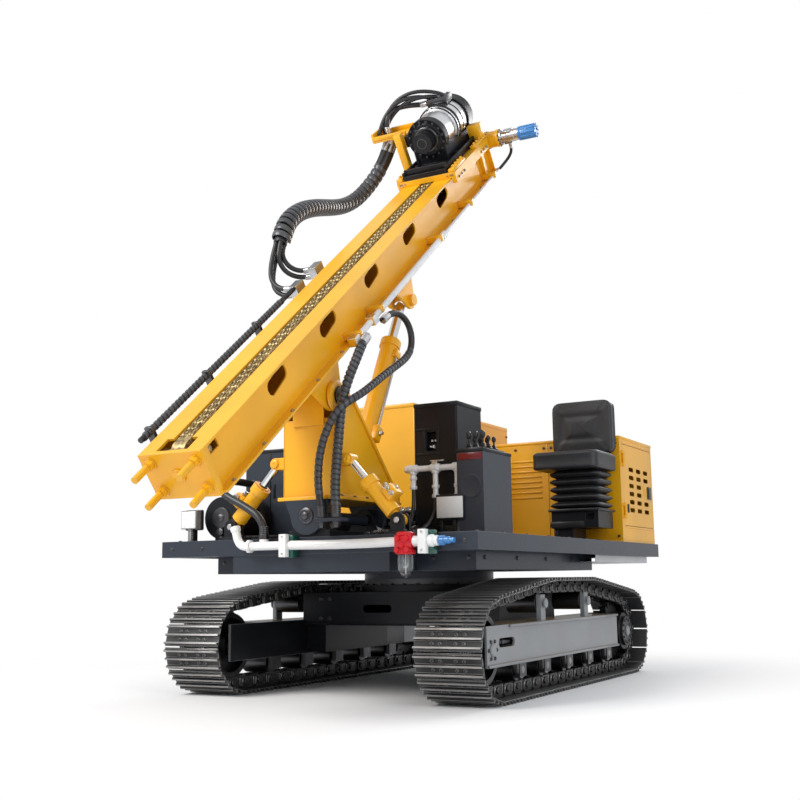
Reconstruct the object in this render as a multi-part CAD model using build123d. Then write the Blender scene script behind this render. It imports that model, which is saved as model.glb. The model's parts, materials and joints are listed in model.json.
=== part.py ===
"""Compact crawler piling and drilling rig: tracked undercarriage, slewing deck, tilting column,
pitching mast with a chain-fed rotary head, seat, console and power unit.

Millimetres. The front of the machine faces -Y, its right side is +X, +Z is up.
The origin is where the slew axis meets the ground.
"""
from math import asin, atan2, cos, degrees, hypot, pi, radians, sin, tan
import os

from build123d import *

os.makedirs("parts", exist_ok=True)

# ---------------------------------------------------------------- running clearances
FIT = 0.3            # between faces that seat or turn on each other

# ---------------------------------------------------------------- tracks
TRACK_OUTER_WIDTH = 1840.0     # over both tracks
SHOE_WIDTH = 350.0
TRACK_X = (TRACK_OUTER_WIDTH - SHOE_WIDTH) / 2
WHEEL_Y = 1026.0               # idler in front, sprocket behind
SHOE_PLATE = 8.0
GROUSER = 16.0
LINK_HEIGHT = 60.0
LINK_THICK = 28.0
LINK_OFFSET = 60.0             # middle of a link row from the middle of the track
WHEEL_R = 170.0                # idler and sprocket under the chain
SHOE_COUNT = 46
SHOE_GAP = 5.0
SHOE_WEB = 3.0                 # what stays between two shoes
SHOE_OUT = SHOE_PLATE + GROUSER
WHEEL_Z = SHOE_OUT + LINK_HEIGHT + WHEEL_R
CARRIER_R = 50.0
CARRIER_Z = 456.0
CARRIER_Y = (-350.0, 310.0)

# ---------------------------------------------------------------- track frames
RAIL_HALF = 122.0              # half width of a track frame
RAIL_WALL = 12.0
RAIL_Z0, RAIL_Z1 = 173.0, 366.0
RAIL_Y0, RAIL_Y1 = -1090.0, 812.0
RAIL_TOP_Y0 = -835.0
RAIL_SLOT = (190.0, 44.0)      # length and height of the adjuster slot
ROLLER_R = 55.0
ROLLER_HALF = 82.0
ROLLER_PITCH = 330.0
ROLLER_COUNT = 5
HUB_R = 112.0

# ---------------------------------------------------------------- centre frame and slew ring
CROSS_HALF_Y = 400.0
CROSS_Z0, CROSS_Z1 = 335.0, 522.0
CROSS_WALL = 20.0
CROSS_SLOT = (186.0, 44.0)     # length and height
CROSS_SLOT_X, CROSS_SLOT_Z = -126.0, 428.0
RING_BASE_R, RING_R = 400.0, 380.0
RING_BASE = 38.0               # height of the ring's base on the centre frame
RING_SPLIT_Z = 594.0           # where the deck turns on the undercarriage

# ---------------------------------------------------------------- deck
DECK_HALF = 928.0
DECK_Y0, DECK_Y1 = -1290.0, 1575.0
DECK_TOP = 802.0
DECK_PLATE = 8.0
DECK_BEAM = 84.0
DECK_BEAM_WALL = 60.0
UNDER_Z0 = 630.0
UNDER_HALF = 780.0
UNDER_Y0, UNDER_Y1 = -1000.0, 650.0
NOSE_HALF = 460.0
UNDER_WALL = 20.0
MEMBER = 12.0                  # thickness of the stringers and cross members under the deck plate
STRINGER_X = (-540.0, -180.0, 180.0, 540.0)
CROSS_Y = (-1140.0, -760.0, -420.0, -60.0, 300.0, 990.0, 1280.0)

# ---------------------------------------------------------------- column
TILT_Z = 905.0                 # side tilt axis, along Y
TILT_LUG_R = 94.0
COLUMN_HALF = 150.0
COLUMN_WALL = 15.0
COLUMN_Y0, COLUMN_Y1 = -1270.0, -640.0
COLUMN_Z0 = 1000.0
FLANGE_THICK = 15.0
FLANGE_OUT = 20.0
MAST_PIVOT = (-1240.0, 1500.0)  # Y and Z of the pitch axis, along X
CHEEK_R = 80.0
FRONT_PLATE_Z = 1390.0         # top of the column's front plate
APRON_HALF, APRON_Z = 92.0, 1636.0     # apron in front of the pitch axis, half width and top

# ---------------------------------------------------------------- mast
MAST_PITCH = 39.0              # resting angle above level
MAST_BACK = 163.0              # back face above the pitch axis, square to the mast
MAST_HALF = 170.0              # half width of the front flange
WEB_HALF = 140.0               # half width over the webs
FRONT_FLANGE = 12.0
END_PLATE = 25.0
MAST_DEPTH = 228.0
MAST_FOOT = -1087.0            # lower end along the mast, from the pitch axis
MAST_LENGTH = 3830.0
MAST_WALL = 10.0
TROUGH_HALF = 50.0             # half width of the chain trough
FOOT_OPENING = (85.0, 120.0)   # its half width at the lower wheel, and where that ends, from the foot
FOOT_WINDOW = (80.0, 150.0)    # opening in the right web beside the lower wheel, from the foot
BACK_FLANGE = 22.0
CHAIN_HALF, CHAIN_THICK = 36.0, 22.0
LEFT_FITTINGS = (1662.0, 1900.0)   # hose connections on the left side, from the mast's foot
FITTING_X = 260.0
MOTOR_PORT_X, MOTOR_PORT = 330.0, 1.0      # across the mast, and reach beyond the motor
FEED_MOTOR_R = 42.0
PIPE_R, THIN_PIPE_R = 17.0, 11.0
PIPE_DEEP = 200.0              # hard pipes under the mast's front face
PIPE_TOP = 3690.0              # their upper end, from the mast's foot
MAST_FRONT = MAST_BACK + MAST_DEPTH
MAST_TOP = MAST_FOOT + MAST_LENGTH
HOLE_FIRST, HOLE_PITCH, HOLE_COUNT = 696.0, 561.0, 5
HOLE_DEEP = 66.0               # middle of a web hole under the front face
WEB_HOLE, HOLE_LEAN = (190.0, 74.0), 8.0       # length and height of a web hole, and its lean
STUD_R, STUD_LENGTH = 16.0, 125.0              # the four studs at the mast's foot

# ---------------------------------------------------------------- cylinders
LIFT_FOOT = (-780.0, 1240.0)   # lower pin, Y and Z, on the column
LIFT_HEAD = (1192.0, -45.0)    # upper pin along and square to the mast, from the pitch axis
LIFT_BARREL_R, LIFT_ROD_R = 52.0, 28.0
LIFT_BARREL = 790.0            # lower pin to gland
LIFT_PIN_R = 26.0
LIFT_EYE_HALF = 34.0           # half length of the eyes
LIFT_BORE, LIFT_ROD_START = 96.0, 331.0    # bottom of the bore and inner end of the rod, from the lower pin
SIDE_FOOT = (495.0, 868.0)     # X and Z
SIDE_EYE = (215.0, 1178.0)
SIDE_Y = -1233.0
SIDE_BARREL_R, SIDE_ROD_R = 40.0, 18.0
SIDE_BARREL = 270.0
SIDE_PIN_R = 16.0
SIDE_BORE, SIDE_ROD_START = 60.0, 166.0
EYE_HALF = 20.0                # half length of a side cylinder's eyes
EAR = 12.0                     # thickness of the ears outside an eye
EAR_GAP = EYE_HALF + FIT
FOOT_EAR_R, EYE_EAR_R = 38.0, 30.0
HOSE_Y = -1340.0               # hoses in front of the column
HOSE_END_Z = 885.0
SIDE_PLANE = 250.0             # the mast's own pipes stay inside this X, the column's hoses outside it

# ---------------------------------------------------------------- head
HEAD_UP = 222.0                # spindle axis above the mast's front face
CARRIAGE_AT = 3080.0           # lower end of the carriage from the mast's foot, at rest
CARRIAGE_LEN = 640.0
GUIDE_DEEP = 35.0              # reach of the carriage's guides beside the mast
BRACKET_Z = MAST_FRONT + 258.0     # underside of the head's hose bracket, square to the mast
BRACKET_X = -400.0             # its left end
# first two points of the hose bundle: across the mast, from its foot, under its front face
BUNDLE_AT, BUNDLE_NEXT = (-325.0, 3400.0, -215.0), (-370.3, 3357.7, -136.5)
COLLAR_R = 47.0
SPINDLE_R = 50.0
NOSE_R, NOSE_LENGTH = 64.0, 70.0
NOSE_AT = 105.0                # front face of the spindle's nose, from the carriage's lower end
# the head's barrel: start and end from the carriage's lower end, and radius
BARREL = ((190.0, 250.0, 130.0), (250.0, 400.0, 108.0), (400.0, 450.0, 140.0), (450.0, 600.0, 120.0),
          (600.0, 690.0, 143.0))
SADDLES = ((195.0, 245.0), (610.0, 660.0))     # feet of the barrel, from the carriage's lower end


# ================================================================ helpers
def block(x0, x1, y0, y1, z0, z1):
    """Box between two corners."""
    return Pos((x0 + x1) / 2, (y0 + y1) / 2, (z0 + z1) / 2) * Box(x1 - x0, y1 - y0, z1 - z0)


def bar_x(y, z, r, x0, x1):
    """Round bar along X."""
    return Pos((x0 + x1) / 2, y, z) * Rot(0, 90, 0) * Cylinder(r, x1 - x0)


def bar_y(x, z, r, y0, y1):
    """Round bar along Y."""
    return Pos(x, (y0 + y1) / 2, z) * Rot(90, 0, 0) * Cylinder(r, y1 - y0)


def bar_z(x, y, r, z0, z1):
    """Round bar along Z."""
    return Pos(x, y, (z0 + z1) / 2) * Cylinder(r, z1 - z0)


def plate_x(points, x0, x1):
    """Flat plate square to X, outline in Y and Z."""
    base = Plane(origin=(x0, 0, 0), x_dir=(0, 1, 0), z_dir=(1, 0, 0))
    return extrude(base * make_face(Polyline(*points, close=True)), x1 - x0)


def plate_y(points, y0, y1):
    """Flat plate square to Y, outline in X and Z."""
    base = Plane(origin=(0, y1, 0), x_dir=(1, 0, 0), z_dir=(0, -1, 0))
    return extrude(base * make_face(Polyline(*points, close=True)), y1 - y0)


def plate_z(points, z0, z1):
    """Flat plate square to Z, outline in X and Y."""
    return extrude(Plane.XY.offset(z0) * make_face(Polyline(*points, close=True)), z1 - z0)


def slot_y(x, z, length, height, y0, y1):
    """Round-ended slot through a wall square to Y."""
    r, reach = height / 2, length / 2 - height / 2
    return (block(x - reach, x + reach, y0, y1, z - r, z + r)
            + bar_y(x - reach, z, r, y0, y1) + bar_y(x + reach, z, r, y0, y1))


def slot_x(y, z, length, height, x0, x1):
    """Round-ended slot through a wall square to X."""
    r, reach = height / 2, length / 2 - height / 2
    return (block(x0, x1, y - reach, y + reach, z - r, z + r)
            + bar_x(y - reach, z, r, x0, x1) + bar_x(y + reach, z, r, x0, x1))


def save(name, *shapes):
    """Write one node."""
    solids = [s for shape in shapes for s in shape.solids()]
    body = Compound(children=solids) if len(solids) > 1 else solids[0]
    export_step(body, f"parts/{name}.step")


# ================================================================ tracks
def belt(grow):
    """Closed path round the wheels, grown by a distance: arcs and the lines that join them.

    An arc is ("arc", y, z, radius, start, end) and a line is ("line", y0, z0, y1, z1).
    """
    rounds = [(-WHEEL_Y, WHEEL_Z, WHEEL_R + grow),
              (CARRIER_Y[0], CARRIER_Z, CARRIER_R + grow),
              (CARRIER_Y[1], CARRIER_Z, CARRIER_R + grow),
              (WHEEL_Y, WHEEL_Z, WHEEL_R + grow)]
    stretches, angles = [], []
    for k, (y0, z0, r0) in enumerate(rounds):
        y1, z1, r1 = rounds[(k + 1) % len(rounds)]
        gap = hypot(y1 - y0, z1 - z0)
        angles.append(atan2(z1 - z0, y1 - y0) + pi / 2 + asin((r1 - r0) / gap))
    for k, (y0, z0, r0) in enumerate(rounds):
        start, end = angles[k - 1], angles[k]
        while end > start:
            end -= 2 * pi
        stretches.append(("arc", y0, z0, r0, start, end))
        y1, z1, r1 = rounds[(k + 1) % len(rounds)]
        stretches.append(("line", y0 + r0 * cos(end), z0 + r0 * sin(end),
                          y1 + r1 * cos(end), z1 + r1 * sin(end)))
    return stretches


def belt_length(stretches):
    """Length of a belt path."""
    return sum(s[3] * (s[4] - s[5]) if s[0] == "arc" else hypot(s[3] - s[1], s[4] - s[2])
               for s in stretches)


def belt_point(stretches, distance):
    """Point on a belt path at a distance from its start."""
    for s in stretches:
        run = s[3] * (s[4] - s[5]) if s[0] == "arc" else hypot(s[3] - s[1], s[4] - s[2])
        if distance <= run:
            if s[0] == "arc":
                a = s[4] - distance / s[3]
                return s[1] + s[3] * cos(a), s[2] + s[3] * sin(a)
            k = distance / run
            return s[1] + (s[3] - s[1]) * k, s[2] + (s[4] - s[2]) * k
        distance -= run
    return belt_point(stretches, 0.0)


def belt_face(grow):
    """Face inside a belt path."""
    edges = []
    for s in belt(grow):
        if s[0] == "line":
            edges.append(Line((s[1], s[2]), (s[3], s[4])))
        else:
            middle = (s[4] + s[5]) / 2
            edges.append(ThreePointArc(*[(s[1] + s[3] * cos(a), s[2] + s[3] * sin(a))
                                         for a in (s[4], middle, s[5])]))
    return make_face(edges)


def shoe_outline():
    """Corners of the shoes' outline round the whole track."""
    path = belt(LINK_HEIGHT)
    total = belt_length(path)
    joints = [belt_point(path, total * k / SHOE_COUNT) for k in range(SHOE_COUNT)]
    corners = []
    for k, (y0, z0) in enumerate(joints):
        y1, z1 = joints[(k + 1) % SHOE_COUNT]
        long = hypot(y1 - y0, z1 - z0)
        ty, tz = (y1 - y0) / long, (z1 - z0) / long
        ny, nz = -tz, ty
        bars = []
        for middle in (0.14, 0.5, 0.86):
            at = long * middle
            bars += [(at - 7, SHOE_PLATE), (at - 4.5, SHOE_OUT), (at + 4.5, SHOE_OUT), (at + 7, SHOE_PLATE)]
        profile = ([(SHOE_GAP / 2, SHOE_WEB), (SHOE_GAP / 2, SHOE_PLATE)] + bars
                   + [(long - SHOE_GAP / 2, SHOE_PLATE), (long - SHOE_GAP / 2, SHOE_WEB)])
        corners += [(y0 + ty * s + ny * n, z0 + tz * s + nz * n) for s, n in profile]
    return corners


def track(side):
    """One closed track: shoes in the outline, two rows of links inside."""
    across = Plane(origin=(side * TRACK_X - SHOE_WIDTH / 2, 0, 0), x_dir=(0, 1, 0), z_dir=(1, 0, 0))
    outer = make_face(Polyline(*shoe_outline(), close=True))
    shoes = extrude(across * (outer - belt_face(LINK_HEIGHT)), SHOE_WIDTH)
    ring = belt_face(LINK_HEIGHT + 1.0) - belt_face(0.0)
    for middle in (-LINK_OFFSET, LINK_OFFSET):
        row = Plane(origin=(side * TRACK_X + middle - LINK_THICK / 2, 0, 0),
                    x_dir=(0, 1, 0), z_dir=(1, 0, 0))
        shoes += extrude(row * ring, LINK_THICK)
    return shoes


def track_frame(side):
    """Channel open below, with the final drive's plate, carrier brackets and the adjuster slot."""
    x = side * TRACK_X
    inner, outer = x - side * RAIL_HALF, x + side * RAIL_HALF
    lo, hi = min(inner, outer), max(inner, outer)
    frame = block(lo, hi, RAIL_TOP_Y0, RAIL_Y1, RAIL_Z1 - RAIL_WALL, RAIL_Z1)
    for a, b in ((lo, lo + RAIL_WALL), (hi - RAIL_WALL, hi)):
        frame += block(a, b, RAIL_Y0, RAIL_Y1, RAIL_Z0, RAIL_Z1)
    a, b = sorted((inner, inner + side * RAIL_WALL))
    frame += block(a, b, RAIL_Y1, WHEEL_Y, RAIL_Z0, RAIL_Z1) + bar_x(WHEEL_Y, WHEEL_Z, HUB_R, a, b)
    a, b = sorted((outer, outer - side * RAIL_WALL))
    frame -= slot_x(-859.0, 283.0, *RAIL_SLOT, a - 1, b + 1)
    for y in CARRIER_Y:
        a, b = sorted((x + side * (RAIL_HALF - RAIL_WALL), x + side * (ROLLER_HALF + 2)))
        frame += block(a, b, y - 30, y + 30, RAIL_Z1, CARRIER_Z + 45)
    return frame


def track_rollers(side):
    """Bottom rollers with their end collars, each one piece."""
    x = side * TRACK_X
    z = SHOE_OUT + LINK_HEIGHT + FIT + ROLLER_R
    group = []
    for k in range(ROLLER_COUNT):
        y = (k - (ROLLER_COUNT - 1) / 2) * ROLLER_PITCH
        roller = bar_x(y, z, ROLLER_R, x - ROLLER_HALF, x + ROLLER_HALF)
        roller += bar_x(y, z, 20, x - RAIL_HALF + 4, x + RAIL_HALF - 4)
        for s in (-1, 1):
            a, b = sorted((x + s * (ROLLER_HALF + 6), x + s * (RAIL_HALF - 4)))
            roller += block(a, b, y - 42, y + 42, z - 32, RAIL_Z0)
        group.append(roller)
    return group


def carrier_rollers(side):
    """Top rollers, each on a stub shaft from its bracket."""
    x = side * TRACK_X
    return [bar_x(y, CARRIER_Z, CARRIER_R - FIT, x - ROLLER_HALF, x + ROLLER_HALF)
            + bar_x(y, CARRIER_Z, 18, *sorted((x, x + side * (ROLLER_HALF + 2)))) for y in CARRIER_Y]


def idler(side):
    """Front wheel with a middle flange, hub and axle."""
    x = side * TRACK_X
    wheel = bar_x(-WHEEL_Y, WHEEL_Z, WHEEL_R - FIT, x - 78, x + 78)
    wheel += bar_x(-WHEEL_Y, WHEEL_Z, WHEEL_R + 18, x - 35, x + 35)
    for s in (-1, 1):
        a, b = sorted((x + s * 40, x + s * 80))
        wheel -= bar_x(-WHEEL_Y, WHEEL_Z, WHEEL_R - 28, a, b) - bar_x(-WHEEL_Y, WHEEL_Z, 60, a, b)
    return wheel + bar_x(-WHEEL_Y, WHEEL_Z, 32, x - RAIL_HALF + RAIL_WALL, x + RAIL_HALF - RAIL_WALL)


def sprocket(side):
    """Toothed ring on the final drive."""
    x = side * TRACK_X
    teeth = 21
    points = []
    for k in range(teeth):
        for part, r in ((0.0, WHEEL_R - 14), (0.3, WHEEL_R + 18), (0.5, WHEEL_R + 18), (0.8, WHEEL_R - 14)):
            a = 2 * pi * (k + part) / teeth
            points.append((WHEEL_Y + r * cos(a), WHEEL_Z + r * sin(a)))
    wheel = plate_x(points, x - 20, x + 20)
    drive = bar_x(WHEEL_Y, WHEEL_Z, HUB_R, *sorted((x - side * (RAIL_HALF - RAIL_WALL), x + side * 96)))
    drive += bar_x(WHEEL_Y, WHEEL_Z, HUB_R - 22, *sorted((x + side * 96, x + side * 116)))
    return wheel + drive


SIDES = ((1, "right"), (-1, "left"))
for side, word in SIDES:
    save(f"track_{word}", track(side))
save("track_frames", *[track_frame(side) for side, word in SIDES])
save("track_rollers", *[roller for side, word in SIDES
                        for roller in track_rollers(side) + carrier_rollers(side)])
save("idlers_and_sprockets", *[make(side) for side, word in SIDES for make in (idler, sprocket)])

# ================================================================ centre frame and slew ring
reach = TRACK_X - RAIL_HALF
cross = block(-reach, reach, -CROSS_HALF_Y, CROSS_HALF_Y, CROSS_Z0, CROSS_Z1)
for s in (-1, 1):
    a, b = sorted((s * (reach - 130), s * reach))
    cross += block(a, b, -CROSS_HALF_Y + 40, CROSS_HALF_Y - 40, RAIL_Z0 + 8, CROSS_Z0)
cross -= block(-reach + CROSS_WALL, reach - CROSS_WALL, -CROSS_HALF_Y + CROSS_WALL,
               CROSS_HALF_Y - CROSS_WALL, CROSS_Z0 + CROSS_WALL, CROSS_Z1 - CROSS_WALL)
for s in (-1, 1):
    a, b = sorted((s * CROSS_HALF_Y, s * (CROSS_HALF_Y - CROSS_WALL)))
    cross -= slot_y(CROSS_SLOT_X, CROSS_SLOT_Z, *CROSS_SLOT, a - 1, b + 1)
cross += bar_z(0, 0, RING_BASE_R, CROSS_Z1, CROSS_Z1 + RING_BASE)
save("centre_frame", cross)
ring = bar_z(0, 0, RING_R, CROSS_Z1 + RING_BASE, RING_SPLIT_Z)
save("slew_ring", ring - bar_z(0, 0, RING_R - 90, CROSS_Z1 + RING_BASE, RING_SPLIT_Z))

# ================================================================ deck
deck = block(-DECK_HALF, DECK_HALF, DECK_Y0, DECK_Y1, DECK_TOP - DECK_PLATE, DECK_TOP)
beam_z = DECK_TOP - DECK_BEAM
rim = block(-DECK_HALF, DECK_HALF, DECK_Y0, DECK_Y1, beam_z, DECK_TOP - DECK_PLATE)
rim -= block(-DECK_HALF + DECK_BEAM_WALL, DECK_HALF - DECK_BEAM_WALL, DECK_Y0 + DECK_BEAM_WALL,
             DECK_Y1 - DECK_BEAM_WALL, beam_z - 1, DECK_TOP - DECK_PLATE)
deck += rim
for half, y0, y1 in ((UNDER_HALF, UNDER_Y0, UNDER_Y1), (NOSE_HALF, DECK_Y0 + 8, UNDER_Y0 + UNDER_WALL)):
    deck += (block(-half, half, y0, y1, UNDER_Z0, DECK_TOP - DECK_PLATE)
             - block(-half + UNDER_WALL, half - UNDER_WALL, y0 + UNDER_WALL, y1 - UNDER_WALL,
                     UNDER_Z0 - 1, DECK_TOP - DECK_PLATE))
for x in STRINGER_X:
    deck += block(x - MEMBER / 2, x + MEMBER / 2, DECK_Y0 + DECK_BEAM_WALL, DECK_Y1 - DECK_BEAM_WALL,
                  beam_z, DECK_TOP - DECK_PLATE)
    deck += block(x - MEMBER / 2, x + MEMBER / 2, UNDER_Y0, UNDER_Y1, UNDER_Z0, DECK_TOP - DECK_PLATE)
for y in CROSS_Y:
    low = UNDER_Z0 if UNDER_Y0 < y < UNDER_Y1 else beam_z
    half = UNDER_HALF if UNDER_Y0 < y < UNDER_Y1 else DECK_HALF - DECK_BEAM_WALL
    deck += block(-half, half, y - MEMBER / 2, y + MEMBER / 2, low, DECK_TOP - DECK_PLATE)
deck += bar_z(0, 0, RING_R, UNDER_Z0, UNDER_Z0 + 20)
deck += bar_z(0, 0, RING_R, RING_SPLIT_Z + FIT, UNDER_Z0)
save("deck_frame", deck)

# bearing of the side tilt, on the deck
TILT_LUGS = ((-1300.0, -1275.0), (-690.0, -665.0))         # column lugs along Y
TILT_BLOCKS = ((-1275.0 + FIT, -1215.0), (-750.0, -690.0 - FIT))   # deck bearings along Y
TILT_PIN_R = 30.0
bearing = block(-120, 120, TILT_BLOCKS[0][0], TILT_BLOCKS[1][1], DECK_TOP, DECK_TOP + 30)
for y0, y1 in TILT_BLOCKS:
    bearing += plate_y([(-120, DECK_TOP), (120, DECK_TOP), (58, TILT_Z), (-58, TILT_Z)], y0, y1)
    bearing += bar_y(0, TILT_Z, 58, y0, y1)
bearing -= bar_y(0, TILT_Z, TILT_PIN_R + FIT, TILT_BLOCKS[0][0] - 1, TILT_BLOCKS[1][1] + 1)
save("tilt_bearing", bearing)

# feet of the two side cylinders, on the deck
foot_x, foot_z = SIDE_FOOT
side_feet = []
for s in (-1, 1):
    foot = block(s * foot_x - 60, s * foot_x + 60, SIDE_Y - 50, SIDE_Y + 50, DECK_TOP, DECK_TOP + 12)
    for y0, y1 in ((-EAR_GAP - EAR, -EAR_GAP), (EAR_GAP, EAR_GAP + EAR)):
        foot += block(s * foot_x - FOOT_EAR_R, s * foot_x + FOOT_EAR_R, SIDE_Y + y0, SIDE_Y + y1,
                      DECK_TOP, foot_z)
        foot += bar_y(s * foot_x, foot_z, FOOT_EAR_R, SIDE_Y + y0, SIDE_Y + y1)
    foot += bar_y(s * foot_x, foot_z, SIDE_PIN_R, SIDE_Y - EAR_GAP - EAR - 6, SIDE_Y + EAR_GAP + EAR + 6)
    side_feet.append(foot)
save("side_cylinder_feet", *side_feet)

# ================================================================ column
pivot_y, pivot_z = MAST_PIVOT
cheek = [(COLUMN_Y0, COLUMN_Z0), (COLUMN_Y1, COLUMN_Z0), (COLUMN_Y1, COLUMN_Z0 + 30),
         (pivot_y + 100, pivot_z + 45), (pivot_y + CHEEK_R * cos(0.7), pivot_z + CHEEK_R * sin(0.7)),
         (pivot_y, pivot_z), (COLUMN_Y0, pivot_z)]
column = None
for s in (-1, 1):
    a, b = sorted((s * COLUMN_HALF, s * (COLUMN_HALF - COLUMN_WALL)))
    side_plate = plate_x(cheek, a, b) + bar_x(pivot_y, pivot_z, CHEEK_R, a, b)
    column = side_plate if column is None else column + side_plate
column += block(-COLUMN_HALF, COLUMN_HALF, COLUMN_Y0, COLUMN_Y0 + COLUMN_WALL, COLUMN_Z0, FRONT_PLATE_Z)
column += block(-APRON_HALF, APRON_HALF, COLUMN_Y0 - 14, COLUMN_Y0 - 6, FRONT_PLATE_Z - 35, APRON_Z)
column += block(-APRON_HALF, APRON_HALF, COLUMN_Y0 - 6, COLUMN_Y0, FRONT_PLATE_Z - 35, FRONT_PLATE_Z - 3)
rear = [(COLUMN_Y1, COLUMN_Z0), (COLUMN_Y1, COLUMN_Z0 + 30), (pivot_y + 130, pivot_z + 14),
        (pivot_y + 118, pivot_z + 2), (COLUMN_Y1 - 14, COLUMN_Z0 + 24), (COLUMN_Y1 - 14, COLUMN_Z0)]
column += plate_x(rear, -COLUMN_HALF - 14, COLUMN_HALF + 14)
column += block(-COLUMN_HALF - FLANGE_OUT, COLUMN_HALF + FLANGE_OUT, TILT_LUGS[0][0], COLUMN_Y1 + 5,
                COLUMN_Z0 - FLANGE_THICK, COLUMN_Z0)
lift_y, lift_z = LIFT_FOOT
for s in (-1, 1):
    a, b = sorted((s * 62, s * 78))
    column += plate_x([(lift_y - 120, lift_z + 50), (lift_y - 20, lift_z - 110), (lift_y + 45, lift_z - 30),
                       (lift_y, lift_z + 55)], a, b)
    column += bar_x(lift_y, lift_z, 55, a, b)
column += bar_x(lift_y, lift_z, 26, -78, 78)
eye_x, eye_z = SIDE_EYE
for s in (-1, 1):
    for y0, y1 in ((-EAR_GAP - EAR, -EAR_GAP), (EAR_GAP, EAR_GAP + EAR)):
        a, b = sorted((s * COLUMN_HALF, s * eye_x))
        column += block(a, b, SIDE_Y + y0, SIDE_Y + y1, eye_z - EYE_EAR_R, eye_z + EYE_EAR_R)
        column += bar_y(s * eye_x, eye_z, EYE_EAR_R, SIDE_Y + y0, SIDE_Y + y1)
column -= bar_x(pivot_y, pivot_z, 34 + FIT, -COLUMN_HALF - 1, COLUMN_HALF + 1)
save("column", column)

# tilt lugs with their pin, and the plate below the column's foot that the two front hoses end in
lug_front = TILT_LUGS[0][0] - FIT
bulkhead = block(95, 245, HOSE_Y - 34, lug_front, HOSE_END_Z - 16, HOSE_END_Z)
bulkhead += block(95, 130, lug_front - 14, lug_front, HOSE_END_Z, COLUMN_Z0 - FLANGE_THICK - 3)
lugs = []
for y0, y1 in TILT_LUGS:
    lug = bar_y(0, TILT_Z, TILT_LUG_R, y0, y1)
    lug += plate_y([(-TILT_LUG_R, TILT_Z), (TILT_LUG_R, TILT_Z), (130, COLUMN_Z0 - FLANGE_THICK),
                    (-130, COLUMN_Z0 - FLANGE_THICK)], y0, y1)
    lugs.append(lug - block(-200, 200, y0 - 1, y1 + 1, COLUMN_Z0 - FLANGE_THICK, COLUMN_Z0 + 50))
pin = bar_y(0, TILT_Z, TILT_PIN_R, TILT_LUGS[0][0] - 12, TILT_LUGS[1][1] + 12)
save("column_lugs", lugs[0] + lugs[1] + pin, bulkhead)
save("mast_pin", bar_x(pivot_y, pivot_z, 34, -COLUMN_HALF - 14, COLUMN_HALF + 14))

# ================================================================ cylinders
def cylinder(length, half_eye, barrel_r, rod_r, barrel, pin_r, bore_start, rod_start):
    """Barrel and rod of a hydraulic cylinder, lying along +Y from its lower pin, pins along X.

    The barrel has a bored lower eye, a neck, a tube and a gland collar; the rod ends in a plain eye.
    """
    neck_r = min(0.72 * barrel_r, half_eye - 2)
    tube = bar_x(0, 0, pin_r + 14, -half_eye, half_eye) + bar_y(0, 0, neck_r, pin_r, pin_r + 45)
    tube += bar_y(0, 0, barrel_r, pin_r + 32, barrel)
    tube += bar_y(0, 0, barrel_r + 8, barrel - 45, barrel)
    tube -= bar_x(0, 0, pin_r + FIT, -half_eye - 1, half_eye + 1)
    tube -= bar_y(0, 0, rod_r + FIT, bore_start, barrel + 1)
    rod = bar_y(0, 0, rod_r, rod_start, length)
    rod += bar_x(length, 0, pin_r + 14, -half_eye, half_eye)
    return tube, rod


lift_angle = radians(MAST_PITCH)
head_y = pivot_y + LIFT_HEAD[0] * cos(lift_angle) - LIFT_HEAD[1] * sin(lift_angle)
head_z = pivot_z + LIFT_HEAD[0] * sin(lift_angle) + LIFT_HEAD[1] * cos(lift_angle)
lift_length = hypot(head_y - lift_y, head_z - lift_z)
barrel, rod = cylinder(lift_length, LIFT_EYE_HALF, LIFT_BARREL_R, LIFT_ROD_R, LIFT_BARREL, LIFT_PIN_R,
                       LIFT_BORE, LIFT_ROD_START)
lift_turn = degrees(atan2(head_z - lift_z, head_y - lift_y))
lift_place = Location((0, lift_y, lift_z), (lift_turn, 0, 0))
save("lift_barrel", lift_place * barrel)
save("lift_rod", lift_place * rod)

for s, word in SIDES:
    side_length = hypot(foot_x - eye_x, eye_z - foot_z)
    barrel, rod = cylinder(side_length, EYE_HALF, SIDE_BARREL_R, SIDE_ROD_R, SIDE_BARREL, SIDE_PIN_R,
                           SIDE_BORE, SIDE_ROD_START)
    lean = degrees(atan2(eye_z - foot_z, s * (eye_x - foot_x)))
    low, high = sorted((-s * (SIDE_BARREL_R - 6), -s * (SIDE_BARREL_R + 42)))
    barrel += block(-28, 28, 95, 165, low, high)          # its valve block, on the outer side
    barrel += bar_x(112, (low + high) / 2, 11, -46, -28) + bar_x(148, (low + high) / 2, 11, -46, -28)
    turn = Location((s * foot_x, SIDE_Y, foot_z), (0, -lean, 0)) * Rot(0, 0, -90)
    save(f"side_barrel_{word}", turn * barrel)
    save(f"side_rod_{word}", turn * rod)

# ================================================================ mast
# Pieces of the mast are built lying along +Y from the pitch axis and turned up to its resting angle.
MAST_PLACE = Location((0, pivot_y, pivot_z), (MAST_PITCH, 0, 0))
foot = MAST_FOOT + END_PLATE
flange_z = MAST_FRONT - FRONT_FLANGE
beam = block(-WEB_HALF, WEB_HALF, MAST_FOOT, MAST_TOP, MAST_BACK, MAST_FRONT)
beam += block(-MAST_HALF, MAST_HALF, MAST_FOOT, MAST_TOP, flange_z, MAST_FRONT)
beam += block(-MAST_HALF, MAST_HALF, MAST_FOOT, foot, MAST_BACK, MAST_FRONT)
beam -= block(-WEB_HALF + MAST_WALL, WEB_HALF - MAST_WALL, foot, MAST_TOP - 15, MAST_BACK + MAST_WALL, flange_z)
for half, y0, y1 in ((TROUGH_HALF, foot, MAST_TOP - 15), (FOOT_OPENING[0], foot, MAST_FOOT + FOOT_OPENING[1])):
    beam -= block(-half, half, y0, y1, flange_z - 1, MAST_FRONT + 1)
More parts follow.
